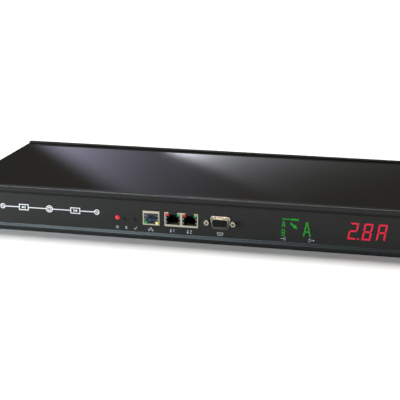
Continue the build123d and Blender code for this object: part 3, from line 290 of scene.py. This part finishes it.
# The network socket's plastic changes over this depth behind the panel, from its dark rim to two blue tones
mouth_start, mouth_end = 0.6 * MM, 1.8 * MM
mouth_rim = (0.012, 0.013, 0.016)
mouth_dark, mouth_pale = (0.10, 0.13, 0.19), (0.66, 0.80, 0.98)
mouth_rough = (0.3, 0.45)

# The serial port's shell: painted shade in its lower part and a painted highlight at its top, which change
# between these two heights
shell_painted_shade, shell_painted_highlight = (0.22, 0.19, 0.15), (0.92, 0.82, 0.70)
shell_shade_z, shell_highlight_z = 20 * MM, 25.5 * MM
shell_rough = 0.22
shell_metallic = 0.95

socket_grain = 1500


def network_plastic():
    """Plastic of the network socket: near black in front and a paler blue-grey in the depth of its mouth."""
    material, tree, shader = shaded_material("network_plastic")
    fine = noise(tree, socket_grain)
    depth = ramp(tree, object_place(tree)["Y"], panel_front_y + mouth_start, panel_front_y + mouth_end,
                 curve="LINEAR")
    deep = two_tones(tree, fine, mouth_dark, mouth_pale)
    tree.links.new(two_tones(tree, depth, mouth_rim, deep), shader.inputs["Base Color"])
    tree.links.new(spread(tree, fine, *mouth_rough), shader.inputs["Roughness"])
    add_bump(tree, shader, fine, smooth_relief)
    return material


def serial_shell():
    """Plated metal of the serial port, with painted shade in its lower part and a painted highlight at its
    top.
    """
    material, tree, shader = shaded_material("serial_shell")
    fine = noise(tree, socket_grain)
    # Painted light: the colour goes from painted shade below to a painted highlight at the top
    height = ramp(tree, object_place(tree)["Z"], shell_shade_z, shell_highlight_z, curve="LINEAR")
    tree.links.new(two_tones(tree, height, shell_painted_shade, shell_painted_highlight), shader.inputs["Base Color"])
    tree.links.new(uneven(tree, fine, shell_rough), shader.inputs["Roughness"])
    shader.inputs["Metallic"].default_value = shell_metallic
    add_bump(tree, shader, fine, smooth_relief)
    return material


# Nodes whose finish differs from that of their slot
own_finishes = {
    # Painted shade: the rear rail gets a darker, less glossy copy of the rails' black, so that its lip looks
    # shaded
    "rear_profile": finish("rear_rail_painted_shade", colour=(0.010, 0.010, 0.009), rough=0.3, specular=0.08,
                           grain=500, stretch=along_rail, relief=grained_relief, edge=rail_edge),
    # Painted shade: the serial port's contacts are painted a dark brown metal instead of their gold, for the
    # shade in their holes
    "serial_port_contacts": finish("serial_contact_painted_shade", colour=(0.08, 0.065, 0.045), rough=0.35,
                                   metallic=1.0, grain=2500),
    "serial_port_shell": serial_shell(),
    "serial_port_insert": finish("serial_black", colour=(0.006, 0.006, 0.007), rough=0.5, specular=0.15,
                                 grain=1500, relief=smooth_relief),
    "lan_jack_body": network_plastic(),
    "status_light": lit("status_red", colour=(1.0, 0.055, 0.085), strength=0.62, body=(0.35, 0.02, 0.03)),
}


def dress_nodes():
    """Gives every node of the model the finish of its slot, and a few nodes one of their own."""
    for part in frame["record"]["subparts"]:
        mesh = frame["nodes"][part["node"]].data
        material = own_finishes.get(part["node"], finishes[part["material_slot"]])
        mesh.materials.clear()
        mesh.materials.append(material)
        for face in mesh.polygons:
            face.material_index = 0


dress_nodes()


# Flat marks on the front: strokes and plates in the XZ plane

# The shortest mitre of a corner, as a share of half the stroke's width
least_mitre = 0.4


def corner_offset(before, here, after, half):
    """Offset of a stroke's corner to its left, mitred between its two directions."""
    first = (here - before).normalized() if before is not None else None
    second = (after - here).normalized() if after is not None else None
    first = first or second
    second = second or first
    normal_a = Vector((-first.y, first.x))
    normal_b = Vector((-second.y, second.x))
    middle = (normal_a + normal_b).normalized()
    return middle * (half / max(least_mitre, middle.dot(normal_a)))


def stroke(bm, points, width, closed=False):
    """One flat stroke through points, with mitred corners."""
    places = [Vector(point) for point in points]
    count = len(places)
    left, right = [], []
    for index, here in enumerate(places):
        before = places[index - 1] if closed or index > 0 else None
        after = places[(index + 1) % count] if closed or index < count - 1 else None
        shift = corner_offset(before, here, after, width / 2)
        for side, store in ((1, left), (-1, right)):
            place = here + side * shift
            store.append(bm.verts.new((place.x * MM, 0, place.y * MM)))
    last = count if closed else count - 1
    for index in range(last):
        following = (index + 1) % count
        bm.faces.new((right[index], right[following], left[following], left[index]))


def plate(bm, points):
    """One flat filled outline."""
    bm.faces.new([bm.verts.new((x * MM, 0, z * MM)) for x, z in points])


def on_circle(x, z, radius, angle):
    """The point of a circle at an angle in degrees."""
    turn = math.radians(angle)
    return x + radius * math.cos(turn), z + radius * math.sin(turn)


def ring_points(x, z, radius, count=20, start=0.0, sweep=360.0):
    """Points on a whole circle, or on an arc with both of its ends."""
    steps = count if abs(sweep) >= 360 else count - 1
    return [on_circle(x, z, radius, start + sweep * step / steps) for step in range(count)]


def box_points(x, z, half_width, half_height):
    """Corners of an upright box round its middle."""
    return [(x - half_width, z - half_height), (x + half_width, z - half_height),
            (x + half_width, z + half_height), (x - half_width, z + half_height)]


def flat_outlines(draw):
    """Corners of a flat drawing, and the outlines of its faces, each turned towards the viewer."""
    bm = bmesh.new()
    draw(bm)
    bm.verts.index_update()
    for face in bm.faces:
        face.normal_update()
        if face.normal.y > 0:
            face.normal_flip()
    corners = [vertex.co.copy() for vertex in bm.verts]
    outlines = [[vertex.index for vertex in face.verts] for face in bm.faces]
    bm.free()
    return corners, outlines


def thicken(corners, front, near_y, far_y):
    """Places and faces of a flat drawing made solid between two planes: front, back, and walls at the rim."""
    places = [corner + Vector((0, y, 0)) for y in (near_y, far_y) for corner in corners]
    behind = len(corners)
    back = [[index + behind for index in reversed(outline)] for outline in front]
    edges = [edge for outline in front for edge in zip(outline, outline[1:] + outline[:1])]
    directed = set(edges)
    rim = [(start, end) for start, end in edges if (end, start) not in directed]
    walls = [[end, start, start + behind, end + behind] for start, end in rim]
    return places, front + back + walls


def raised_mark(name, draw, material, thickness, base_y=panel_front_y):
    """A mark drawn flat on the front film, or on another face, with its thickness towards the viewer."""
    places, faces = thicken(*flat_outlines(draw), base_y - thickness, base_y)
    mesh = bpy.data.meshes.new(name)
    mesh.from_pydata(places, [], faces)
    mesh.materials.append(material)
    mark = bpy.data.objects.new(name, mesh)
    bpy.context.scene.collection.objects.link(mark)
    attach(mark, "root")


# Lit letters of the flow symbol, and the glow that widens its arrow

letter_stroke = 0.62
large_letter_stroke = 1.05
arrow_shaft = [(104.4, 25.15), (107.9, 22.3)]
arrow_stroke = 1.6
arrow_head = [(106.6, 20.9), (110.6, 20.1), (109.0, 23.9)]

# Shares of a letter's half width or height: top and bar of the A, waist and cut corners of the B
a_top, a_bar, a_bar_height = 0.12, 0.62, 0.33
b_waist_height, b_cut = 0.52, 0.6


def letter_a(bm, x, z, width, height, line):
    """A capital A from its middle foot point: one bent stroke and a bar."""
    half = width / 2
    top, reach = half * a_top, half * a_bar
    stroke(bm, [(x - half, z), (x - top, z + height), (x + top, z + height), (x + half, z)], line)
    bar = z + height * a_bar_height
    stroke(bm, [(x - reach, bar), (x + reach, bar)], line)


def letter_b(bm, x, z, width, height, line):
    """A capital B from its middle foot point: its outline and the bar at its waist."""
    half = width / 2
    left, right = x - half, x + half
    waist = z + height * b_waist_height
    cut = half * b_cut
    stroke(bm, [(left, z), (left, z + height), (right - cut, z + height), (right, z + height - cut),
                (right, waist + cut), (right - cut, waist), (right, waist - cut), (right, z + cut),
                (right - cut, z)], line, closed=True)
    stroke(bm, [(left, waist), (right - cut, waist)], line)


def draw_flow_letters(bm):
    """The feeds' letters, the active feed's large letter, and the glow over the arrow."""
    letter_a(bm, x=97.9, z=21.1, width=2.9, height=5.4, line=letter_stroke)
    letter_b(bm, x=97.7, z=13.0, width=2.4, height=5.7, line=letter_stroke)
    letter_a(bm, x=119.4, z=13.6, width=6.0, height=12.9, line=large_letter_stroke)
    stroke(bm, arrow_shaft, arrow_stroke)
    plate(bm, arrow_head)


raised_mark("flow_letters", draw_flow_letters, finishes["symbol_green"], glow_thickness)


# Small printed pictograms: line widths, height of their middles, and places under what they belong to

icon_line = 0.34
thin_icon_line = icon_line * 0.8
digit_line = icon_line * 1.2
tick_line = icon_line * 1.3
icon_z = 10.1
digit_height = 2.6
probe_shift, digit_shift = -1.6, 1.4

status_x, select_x, ok_x = -60.8, -52.0, -43.0
network_x = -28.0
sensors_x = (-7.0, 9.3)
serial_x = 38.6
input_x, output_x = 97.6, 123.6


def around(x, *offsets):
    """Points given by their offsets from the middle of a pictogram."""
    return [(x + across, icon_z + up) for across, up in offsets]


def icon_lamp(bm, x):
    """A small lamp with rays."""
    bulb, ray_start, ray_end = 0.75, 1.15, 1.6
    stroke(bm, ring_points(x, icon_z, bulb), icon_line, closed=True)
    for angle in range(0, 360, 45):
        stroke(bm, [on_circle(x, icon_z, radius, angle) for radius in (ray_start, ray_end)], icon_line)


def icon_step(bm, x):
    """Two arrowheads, down and up."""
    half, base, tip = 1.2, 0.3, 1.5
    for side in (-1, 1):
        plate(bm, around(x, (-half, side * base), (half, side * base), (0, side * tip)))


def icon_tick(bm, x):
    """A tick."""
    stroke(bm, around(x, (-1.4, 0), (-0.4, -1.1), (1.6, 1.3)), tick_line)


def icon_network(bm, x):
    """Three boxes joined by lines."""
    reach, level = 1.7, 1.1
    half_width, half_height = 0.6, 0.45
    foot = 0.5
    for across, up in ((0, level), (-reach, -level), (reach, -level)):
        stroke(bm, box_points(x + across, icon_z + up, half_width, half_height), icon_line, closed=True)
    stroke(bm, around(x, (0, foot), (0, 0)), icon_line)
    stroke(bm, around(x, (-reach, -foot), (-reach, 0), (reach, 0), (reach, -foot)), icon_line)


def digit_one(bm, x, z):
    """The digit 1 from its foot point."""
    flag_reach, flag_height = 0.5, 0.72
    stroke(bm, [(x - flag_reach, z + digit_height * flag_height), (x, z + digit_height), (x, z)], digit_line)


def digit_two(bm, x, z):
    """The digit 2 from its middle foot point: a bow, a slant and a foot."""
    bow, foot = 0.6, 0.7
    points = ring_points(x, z + digit_height - bow, bow, count=7, start=170, sweep=-200)
    stroke(bm, points + [(x - bow, z), (x + foot, z)], digit_line)


def icon_probe(bm, x):
    """A thermometer: its tube and its filled bulb."""
    tube, bottom, top = 0.35, -0.5, 1.4
    bulb, bulb_level = 0.75, -0.9
    stroke(bm, around(x, (-tube, bottom), (-tube, top), (tube, top), (tube, bottom)), thin_icon_line)
    plate(bm, ring_points(x, icon_z + bulb_level, bulb, count=16))


def icon_serial(bm, x):
    """The nine-way port's outline with its contacts."""
    top_half, bottom_half, level = 2.9, 2.3, 1.3
    pitch, dot = 0.9, 0.22
    outline = around(x, (-top_half, level), (top_half, level), (bottom_half, -level), (-bottom_half, -level))
    stroke(bm, outline, icon_line, closed=True)
    for count, row in ((5, 0.5), (4, -0.45)):
        for step in range(count):
            across = (step - (count - 1) / 2) * pitch
            plate(bm, ring_points(x + across, icon_z + row, dot, count=8))


def icon_arrow(bm, x, inward):
    """A bracket with an arrow that goes into it or comes out of it."""
    side = 1 if inward else -1
    near, far, level = side * 0.2, side * 2.2, 1.3
    tail, neck, tip = (-2.6, 0.2, 1.2) if inward else (-0.8, 2.0, 3.0)
    head, head_half = 1.2, 0.8
    stroke(bm, around(x, (near, level), (far, level), (far, -level), (near, -level)), icon_line)
    stroke(bm, around(x, (tail, 0), (neck, 0)), icon_line)
    plate(bm, around(x, (tip, 0), (tip - head, head_half), (tip - head, -head_half)))


def draw_pictograms(bm):
    """All pictograms, from left to right."""
    icon_lamp(bm, status_x)
    icon_step(bm, select_x)
    icon_tick(bm, ok_x)
    icon_network(bm, network_x)
    for x, digit in zip(sensors_x, (digit_one, digit_two)):
        icon_probe(bm, x + probe_shift)
        digit(bm, x + digit_shift, icon_z - digit_height / 2)
    icon_serial(bm, serial_x)
    icon_arrow(bm, input_x, inward=True)
    icon_arrow(bm, output_x, inward=False)


raised_mark("panel_pictograms", draw_pictograms, ink_pale, ink_thickness)


# Dark inner frames and spring tabs of the sockets, laid on the thin sheet of their shields

window_half = 6.55
inner_frame = 0.5

# The sheet's edge over and under a window, thick on the side away from the latch
thick_edge, thin_edge = 2.4, 1.1

# The latch notch of a sensor socket: its half width, how far it reaches into the window, and how far short
# of the shield's rim it ends
notch_half = 4.3
notch_overlap = 0.4
notch_rim = 0.05

# Spring tabs: reach into the window, half height, distance from their middle, and its height in each shield
spring_reach = 0.8
spring_half = 0.5
spring_lift = 1.9
sensor_spring_height = 6.2
network_spring_height = 7.2


def windows(node, count):
    """Middles of a shield's windows along X, and its lower and upper edge."""
    low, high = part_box(node)
    half = (high.x - low.x) / count / 2
    middles = [(low.x + half * (2 * index + 1)) / MM for index in range(count)]
    return middles, low.z / MM, high.z / MM


def oblong(bm, left, right, low, high):
    """A filled upright box between its edges."""
    plate(bm, [(left, low), (right, low), (right, high), (left, high)])


def side_strips(bm, x, low, high):
    """Strips just outside a socket's window, at both of its sides."""
    for side in (-1, 1):
        edges = sorted((x + side * window_half, x + side * (window_half + inner_frame)))
        oblong(bm, *edges, low, high)


def draw_socket_faces(bm):
    """The dark sides of all windows, and the lower strip and latch notch of the sensor sockets."""
    (x,), low, high = windows("lan_jack_shield", 1)
    side_strips(bm, x, low + thin_edge, high - thick_edge)
    middles, low, high = windows("sensor_jack_shield", 2)
    for x in middles:
        side_strips(bm, x, low + thick_edge, high - thin_edge)
        oblong(bm, x - window_half, x + window_half, low + thick_edge - inner_frame, low + thick_edge)
        oblong(bm, x - notch_half, x + notch_half, high - thin_edge - notch_overlap, high - notch_rim)


def draw_springs(bm):
    """Two small spring tabs that stand out of each side of every window."""
    sensors, sensor_low, _ = windows("sensor_jack_shield", 2)
    network, network_low, _ = windows("lan_jack_shield", 1)
    places = [(x, sensor_low + sensor_spring_height) for x in sensors]
    places += [(x, network_low + network_spring_height) for x in network]
    for x, z in places:
        for side in (-1, 1):
            for lift in (-spring_lift, spring_lift):
                edges = sorted((x + side * window_half, x + side * (window_half - spring_reach)))
                oblong(bm, *edges, z + lift - spring_half, z + lift + spring_half)


raised_mark("socket_faces", draw_socket_faces, finishes["jack_plastic"],
            socket_face_thickness, socket_face_y)
raised_mark("socket_springs", draw_springs, finishes["jack_metal"],
            spring_thickness, socket_face_y + spring_thickness)


# Printed one-line diagram at the left end of the panel: a feed from each side, its switch, and the load

diagram_z = 23.2
diagram_middle = -128.4
diagram_half = 50.0
diagram_line = 0.9
diagram_height = 5.2
circle_steps = 32

# The sign of alternating current in a source
wave_length, wave_height, wave_steps = 2.4, 0.75, 12
wave_line = diagram_line * 0.8

# A static switch: its distance from the middle, its box, and the valve sign in it
switch_distance = 26.0
switch_half = 4.5
valve_base, valve_tip, valve_bar, valve_half = 1.9, -0.9, -1.3, 1.4
valve_line = diagram_line * 0.9

# The load: where its lines end, and how far its two rings are outside and inside a source's ring
load_reach = 3.4
load_outside, load_inside = 0.9, -0.6


def wave(x, z):
    """One period of a sine."""
    turns = [step / wave_steps for step in range(wave_steps + 1)]
    return [(x + wave_length * (turn - 0.5), z + wave_height * math.sin(math.tau * turn)) for turn in turns]


def draw_feed(bm, side):
    """One half of the diagram: source, line, static switch and line to the middle."""
    z, half = diagram_z, diagram_height / 2
    source = diagram_middle + side * (diagram_half - half)
    switch = diagram_middle + side * switch_distance
    stroke(bm, ring_points(source, z, half - diagram_line / 2, circle_steps), diagram_line, closed=True)
    stroke(bm, wave(source, z), wave_line)
    stroke(bm, [(source - side * half, z), (switch + side * switch_half, z)], diagram_line)
    stroke(bm, box_points(switch, z, switch_half, half), diagram_line, closed=True)
    base, tip, bar = (switch + side * across for across in (valve_base, valve_tip, valve_bar))
    plate(bm, [(base, z + valve_half), (base, z - valve_half), (tip, z)])
    stroke(bm, [(bar, z - valve_half), (bar, z + valve_half)], valve_line)
    stroke(bm, [(switch - side * switch_half, z), (diagram_middle + side * load_reach, z)], diagram_line)


def draw_diagram(bm):
    """Both feeds, and the load between them as two rings."""
    for side in (-1, 1):
        draw_feed(bm, side)
    for shift in (load_outside, load_inside):
        radius = diagram_height / 2 + shift - diagram_line / 2
        stroke(bm, ring_points(diagram_middle, diagram_z, radius, circle_steps), diagram_line, closed=True)


raised_mark("panel_diagram", draw_diagram, ink_white, ink_thickness)


# Stage helpers


def plain_material(name, build):
    """A material for the stage, made by a function that gets its tree and output."""
    material, tree, output = empty_material(name)
    build(tree, output)
    return material


def calculate(tree, operation, first, second=None):
    """A math node on a socket alone, on two sockets, or on a socket and a number."""
    node = tree.nodes.new("ShaderNodeMath")
    node.operation = operation
    tree.links.new(first, node.inputs[0])
    if isinstance(second, bpy.types.NodeSocket):
        tree.links.new(second, node.inputs[1])
    elif second is not None:
        node.inputs[1].default_value = second
    return node.outputs["Value"]


def glow_of(tree, level, colour):
    """Emission of one colour at a level."""
    emission = tree.nodes.new("ShaderNodeEmission")
    emission.inputs["Color"].default_value = (*colour, 1)
    tree.links.new(level, emission.inputs["Strength"])
    return emission.outputs["Emission"]


def add_light(tree, first, second):
    """The sum of two shaders."""
    both = tree.nodes.new("ShaderNodeAddShader")
    tree.links.new(first, both.inputs[0])
    tree.links.new(second, both.inputs[1])
    return both.outputs["Shader"]


# Floor: its size and tone, and its own light to the eye, which grows between two distances

floor_size = 12.0
floor_parts = 4
floor_tone = (0.86, 0.86, 0.86)
lift_colour = (1, 0.96, 0.92)
lift_near, lift_far = 0.08, 1.0
lift_start, lift_end = 0.5, 1.1


def floor_shader(tree, output):
    """Pale floor with a little of its own light to the eye, which grows far out, so that the shadow stays."""
    diffuse = tree.nodes.new("ShaderNodeBsdfDiffuse")
    diffuse.inputs["Color"].default_value = (*floor_tone, 1)
    path = tree.nodes.new("ShaderNodeLightPath")
    place = tree.nodes.new("ShaderNodeTexCoord")
    distance = tree.nodes.new("ShaderNodeVectorMath")
    distance.operation = "LENGTH"
    tree.links.new(place.outputs["Object"], distance.inputs[0])
    level = ramp(tree, distance.outputs["Value"], lift_start, lift_end, lift_near, lift_far)
    seen = calculate(tree, "MULTIPLY", level, path.outputs["Is Camera Ray"])
    lifted = add_light(tree, diffuse.outputs["BSDF"], glow_of(tree, seen, lift_colour))
    tree.links.new(lifted, output.inputs["Surface"])


def make_floor():
    """The floor under the unit, as one flat sheet."""
    bm = bmesh.new()
    bmesh.ops.create_grid(bm, x_segments=floor_parts, y_segments=floor_parts, size=floor_size / 2)
    mesh = bpy.data.meshes.new("floor")
    bm.to_mesh(mesh)
    bm.free()
    mesh.materials.append(plain_material("floor_white", floor_shader))
    floor = bpy.data.objects.new("floor", mesh)
    bpy.context.scene.collection.objects.link(floor)


# The upright card behind the unit, which the cover mirrors as two slanting soft bands

card_y = 1.5
card_low, card_high = 0.372, 0.75
card_left, card_right = -1.2, 0.6

# The height at which the bands start, and the level at which a band has faded away
band_foot = 0.38
band_end = 0.015

# Each band: its lean to the right, the places between which it rises, its colour, and its glows, each with
# a strength and the lengths over which it dies away to the right and upwards
left_band = dict(lean=1.62, rise=(-0.795, -0.672), colour=(0.92, 0.88, 1.20), glows=[(0.86, 0.153, 0.073)])
right_band = dict(lean=2.4, rise=(-0.462, -0.385), colour=(0.95, 0.98, 1.08),
                  glows=[(2.05, 0.04, 0.0097), (1.15, 0.15, 0.0274)])

# The glow above the bands: where it rises with the height, where it dies away to the right, and its strength
lip_rise = (0.51, 0.57)
lip_fall = (-0.45, 0.25)
lip_strength = 0.22
lip_colour = (0.78, 0.93, 1.08)


def leaning(tree, along, height, lean):
    """The place across a band that leans to the right as it rises."""
    shift = calculate(tree, "MULTIPLY", calculate(tree, "SUBTRACT", height, band_foot), lean)
    return calculate(tree, "SUBTRACT", along, shift)


def fading(tree, across, height, start, strength, fall, fade):
    """Light that dies away to the right of a place and upwards, each over its own length."""
    sideways = calculate(tree, "MULTIPLY", calculate(tree, "SUBTRACT", across, start), -1 / fall)
    upwards = calculate(tree, "MULTIPLY", calculate(tree, "SUBTRACT", height, band_foot), -1 / fade)
    power = calculate(tree, "EXPONENT", calculate(tree, "ADD", sideways, upwards))
    return calculate(tree, "MULTIPLY", power, strength)


def band_light(tree, along, height, lean, rise, colour, glows):
    """Light of one band: a rise at its left edge, then one or more glows that fade to nothing."""
    across = leaning(tree, along, height, lean)
    total = fading(tree, across, height, rise[1], *glows[0])
    for glow in glows[1:]:
        total = calculate(tree, "ADD", total, fading(tree, across, height, rise[1], *glow))
    left_over = calculate(tree, "MAXIMUM", calculate(tree, "SUBTRACT", total, band_end), 0)
    return glow_of(tree, calculate(tree, "MULTIPLY", ramp(tree, across, *rise), left_over), colour)


def lip_glow(tree, along, height):
    """A faint bluish glow above the bands, which only the rougher top of the front lip catches."""
    upward = ramp(tree, height, *lip_rise, 0, lip_strength)
    sideways = ramp(tree, along, *lip_fall, 1, 0)
    return glow_of(tree, calculate(tree, "MULTIPLY", upward, sideways), lip_colour)


def card_shader(tree, output):
    """Two slanting bands, the left one bluish and the right one brighter at its foot, and a glow above."""
    place = object_place(tree)
    along, height = place["X"], place["Z"]
    bands = add_light(tree, band_light(tree, along, height, **left_band),
                      band_light(tree, along, height, **right_band))
    tree.links.new(add_light(tree, bands, lip_glow(tree, along, height)), output.inputs["Surface"])


# Level cards: the soft box above the front, the low box far before it, and the strip before the unit's foot.
# The light of each changes from its left strength to its right one between two places along X.

box_height = 1.2
box_sides = (-1.0, 0.25)
box_colour = (0.72, 0.90, 1.0)
level_cards = {
    "soft_box": dict(sides=box_sides, depth=(-0.79, -0.57), height=box_height, change=(-0.56, -0.05),
                     strengths=(13.5, 1.9), colour=box_colour),
    "low_box": dict(sides=box_sides, depth=(-2.3, -1.2), height=box_height, change=(-0.55, 0.1),
                    strengths=(20.0, 2.0), colour=box_colour),
    "foot_glow": dict(sides=(-0.24, 0.24), depth=(lip_y - 0.08, lip_y - 0.001), height=0.0004,
                      change=(-0.2, 0.15), strengths=(1.0, 0.48), colour=(0.80, 0.93, 1.0), shadow=False),
}


def make_card(name, corners, material, shadow=True):
    """A flat glow that shows only in the unit's gloss."""
    mesh = bpy.data.meshes.new(name)
    mesh.from_pydata(corners, [], [(0, 1, 2, 3)])
    mesh.materials.append(material)
    card = bpy.data.objects.new(name, mesh)
    bpy.context.scene.collection.objects.link(card)
    card.visible_camera = False
    card.visible_diffuse = False
    card.visible_shadow = shadow


def make_level_card(name, sides, depth, height, change, strengths, colour, shadow=True):
    """A level card between its sides along X and its depth along Y, with light that changes along X."""
    def build(tree, output):
        level = ramp(tree, object_place(tree)["X"], *change, *strengths)
        tree.links.new(glow_of(tree, level, colour), output.inputs["Surface"])

    (left, right), (front, back) = sides, depth
    flat = [(left, front), (left, back), (right, back), (right, front)]
    make_card(name, [(x, y, height) for x, y in flat], plain_material(name + "_light", build), shadow)


def make_cards():
    """The card behind the unit, and the level cards above it, before it and at its foot."""
    upright = [(card_left, card_low), (card_right, card_low), (card_right, card_high), (card_left, card_high)]
    make_card("mirror_card", [(x, card_y, z) for x, z in upright], plain_material("card_light", card_shader))
    for name, settings in level_cards.items():
        make_level_card(name, **settings)


# World, lamps and camera

ambient_colour = (0.93, 0.96, 1.0)
ambient_strength = 0.07

# Each lamp: its place and target, its size in metres and its power in watts
lamps = {
    "back_key": dict(place=(0.1, 1.16, 2.05), target=(0, -0.1, 0.04), size=(3.0, 1.3), power=100,
                     colour=(1.0, 0.985, 0.96)),
    "front_left": dict(place=(-0.6, -0.5, 0.1), target=(-0.15, -0.1, 0.02), size=(0.3, 0.12), power=4.2,
                       colour=(0.87, 0.95, 1.0)),
    "front_right": dict(place=(0.55, -0.5, 0.1), target=(0.12, -0.1, 0.0), size=(0.3, 0.12), power=0.8,
                        colour=(1.0, 0.97, 0.94)),
}


def make_world():
    """White to the eye and a faint bluish grey as light."""
    world = bpy.data.worlds.new("studio")
    bpy.context.scene.world = world
    world.use_nodes = True
    tree = world.node_tree
    tree.nodes.clear()
    output = tree.nodes.new("ShaderNodeOutputWorld")
    seen = tree.nodes.new("ShaderNodeBackground")
    seen.inputs["Color"].default_value = (1, 1, 1, 1)
    light = tree.nodes.new("ShaderNodeBackground")
    light.inputs["Color"].default_value = (*ambient_colour, 1)
    light.inputs["Strength"].default_value = ambient_strength
    path = tree.nodes.new("ShaderNodeLightPath")
    mix = tree.nodes.new("ShaderNodeMixShader")
    tree.links.new(path.outputs["Is Camera Ray"], mix.inputs["Fac"])
    tree.links.new(light.outputs["Background"], mix.inputs[1])
    tree.links.new(seen.outputs["Background"], mix.inputs[2])
    tree.links.new(mix.outputs["Shader"], output.inputs["Surface"])


def area_light(name, place, target, size, power, colour):
    """A soft rectangular lamp that looks at a point."""
    data = bpy.data.lights.new(name, "AREA")
    data.shape = "RECTANGLE"
    data.size, data.size_y = size
    data.energy = power
    data.color = colour
    lamp = bpy.data.objects.new(name, data)
    bpy.context.scene.collection.objects.link(lamp)
    lamp.location = place
    lamp.rotation_euler = (Vector(target) - Vector(place)).to_track_quat("-Z", "Y").to_euler()
    lamp.visible_camera = False


def make_lights():
    """The broad lamp above and behind, and the weak ones before both ends."""
    for name, settings in lamps.items():
        area_light(name, **settings)


def make_camera():
    """The camera at the photograph's viewing angle."""
    data = bpy.data.cameras.new("camera")
    data.sensor_width = sensor_width
    data.lens = sensor_width * focal_pixels / frame_pixels
    data.clip_start = clip_near
    data.clip_end = clip_far
    camera = bpy.data.objects.new("camera", data)
    bpy.context.scene.collection.objects.link(camera)
    azimuth, elevation = math.radians(view_azimuth), math.radians(view_elevation)
    level = math.cos(elevation)
    forward = Vector((-math.sin(azimuth) * level, math.cos(azimuth) * level, -math.sin(elevation)))
    camera.location = eye_from_lip + Vector((0, lip_y, 0))
    camera.rotation_euler = forward.to_track_quat("-Z", "Y").to_euler()
    bpy.context.scene.camera = camera


make_floor()
make_cards()
make_world()
make_lights()
make_camera()
bpy.context.scene.view_settings.view_transform = "Standard"
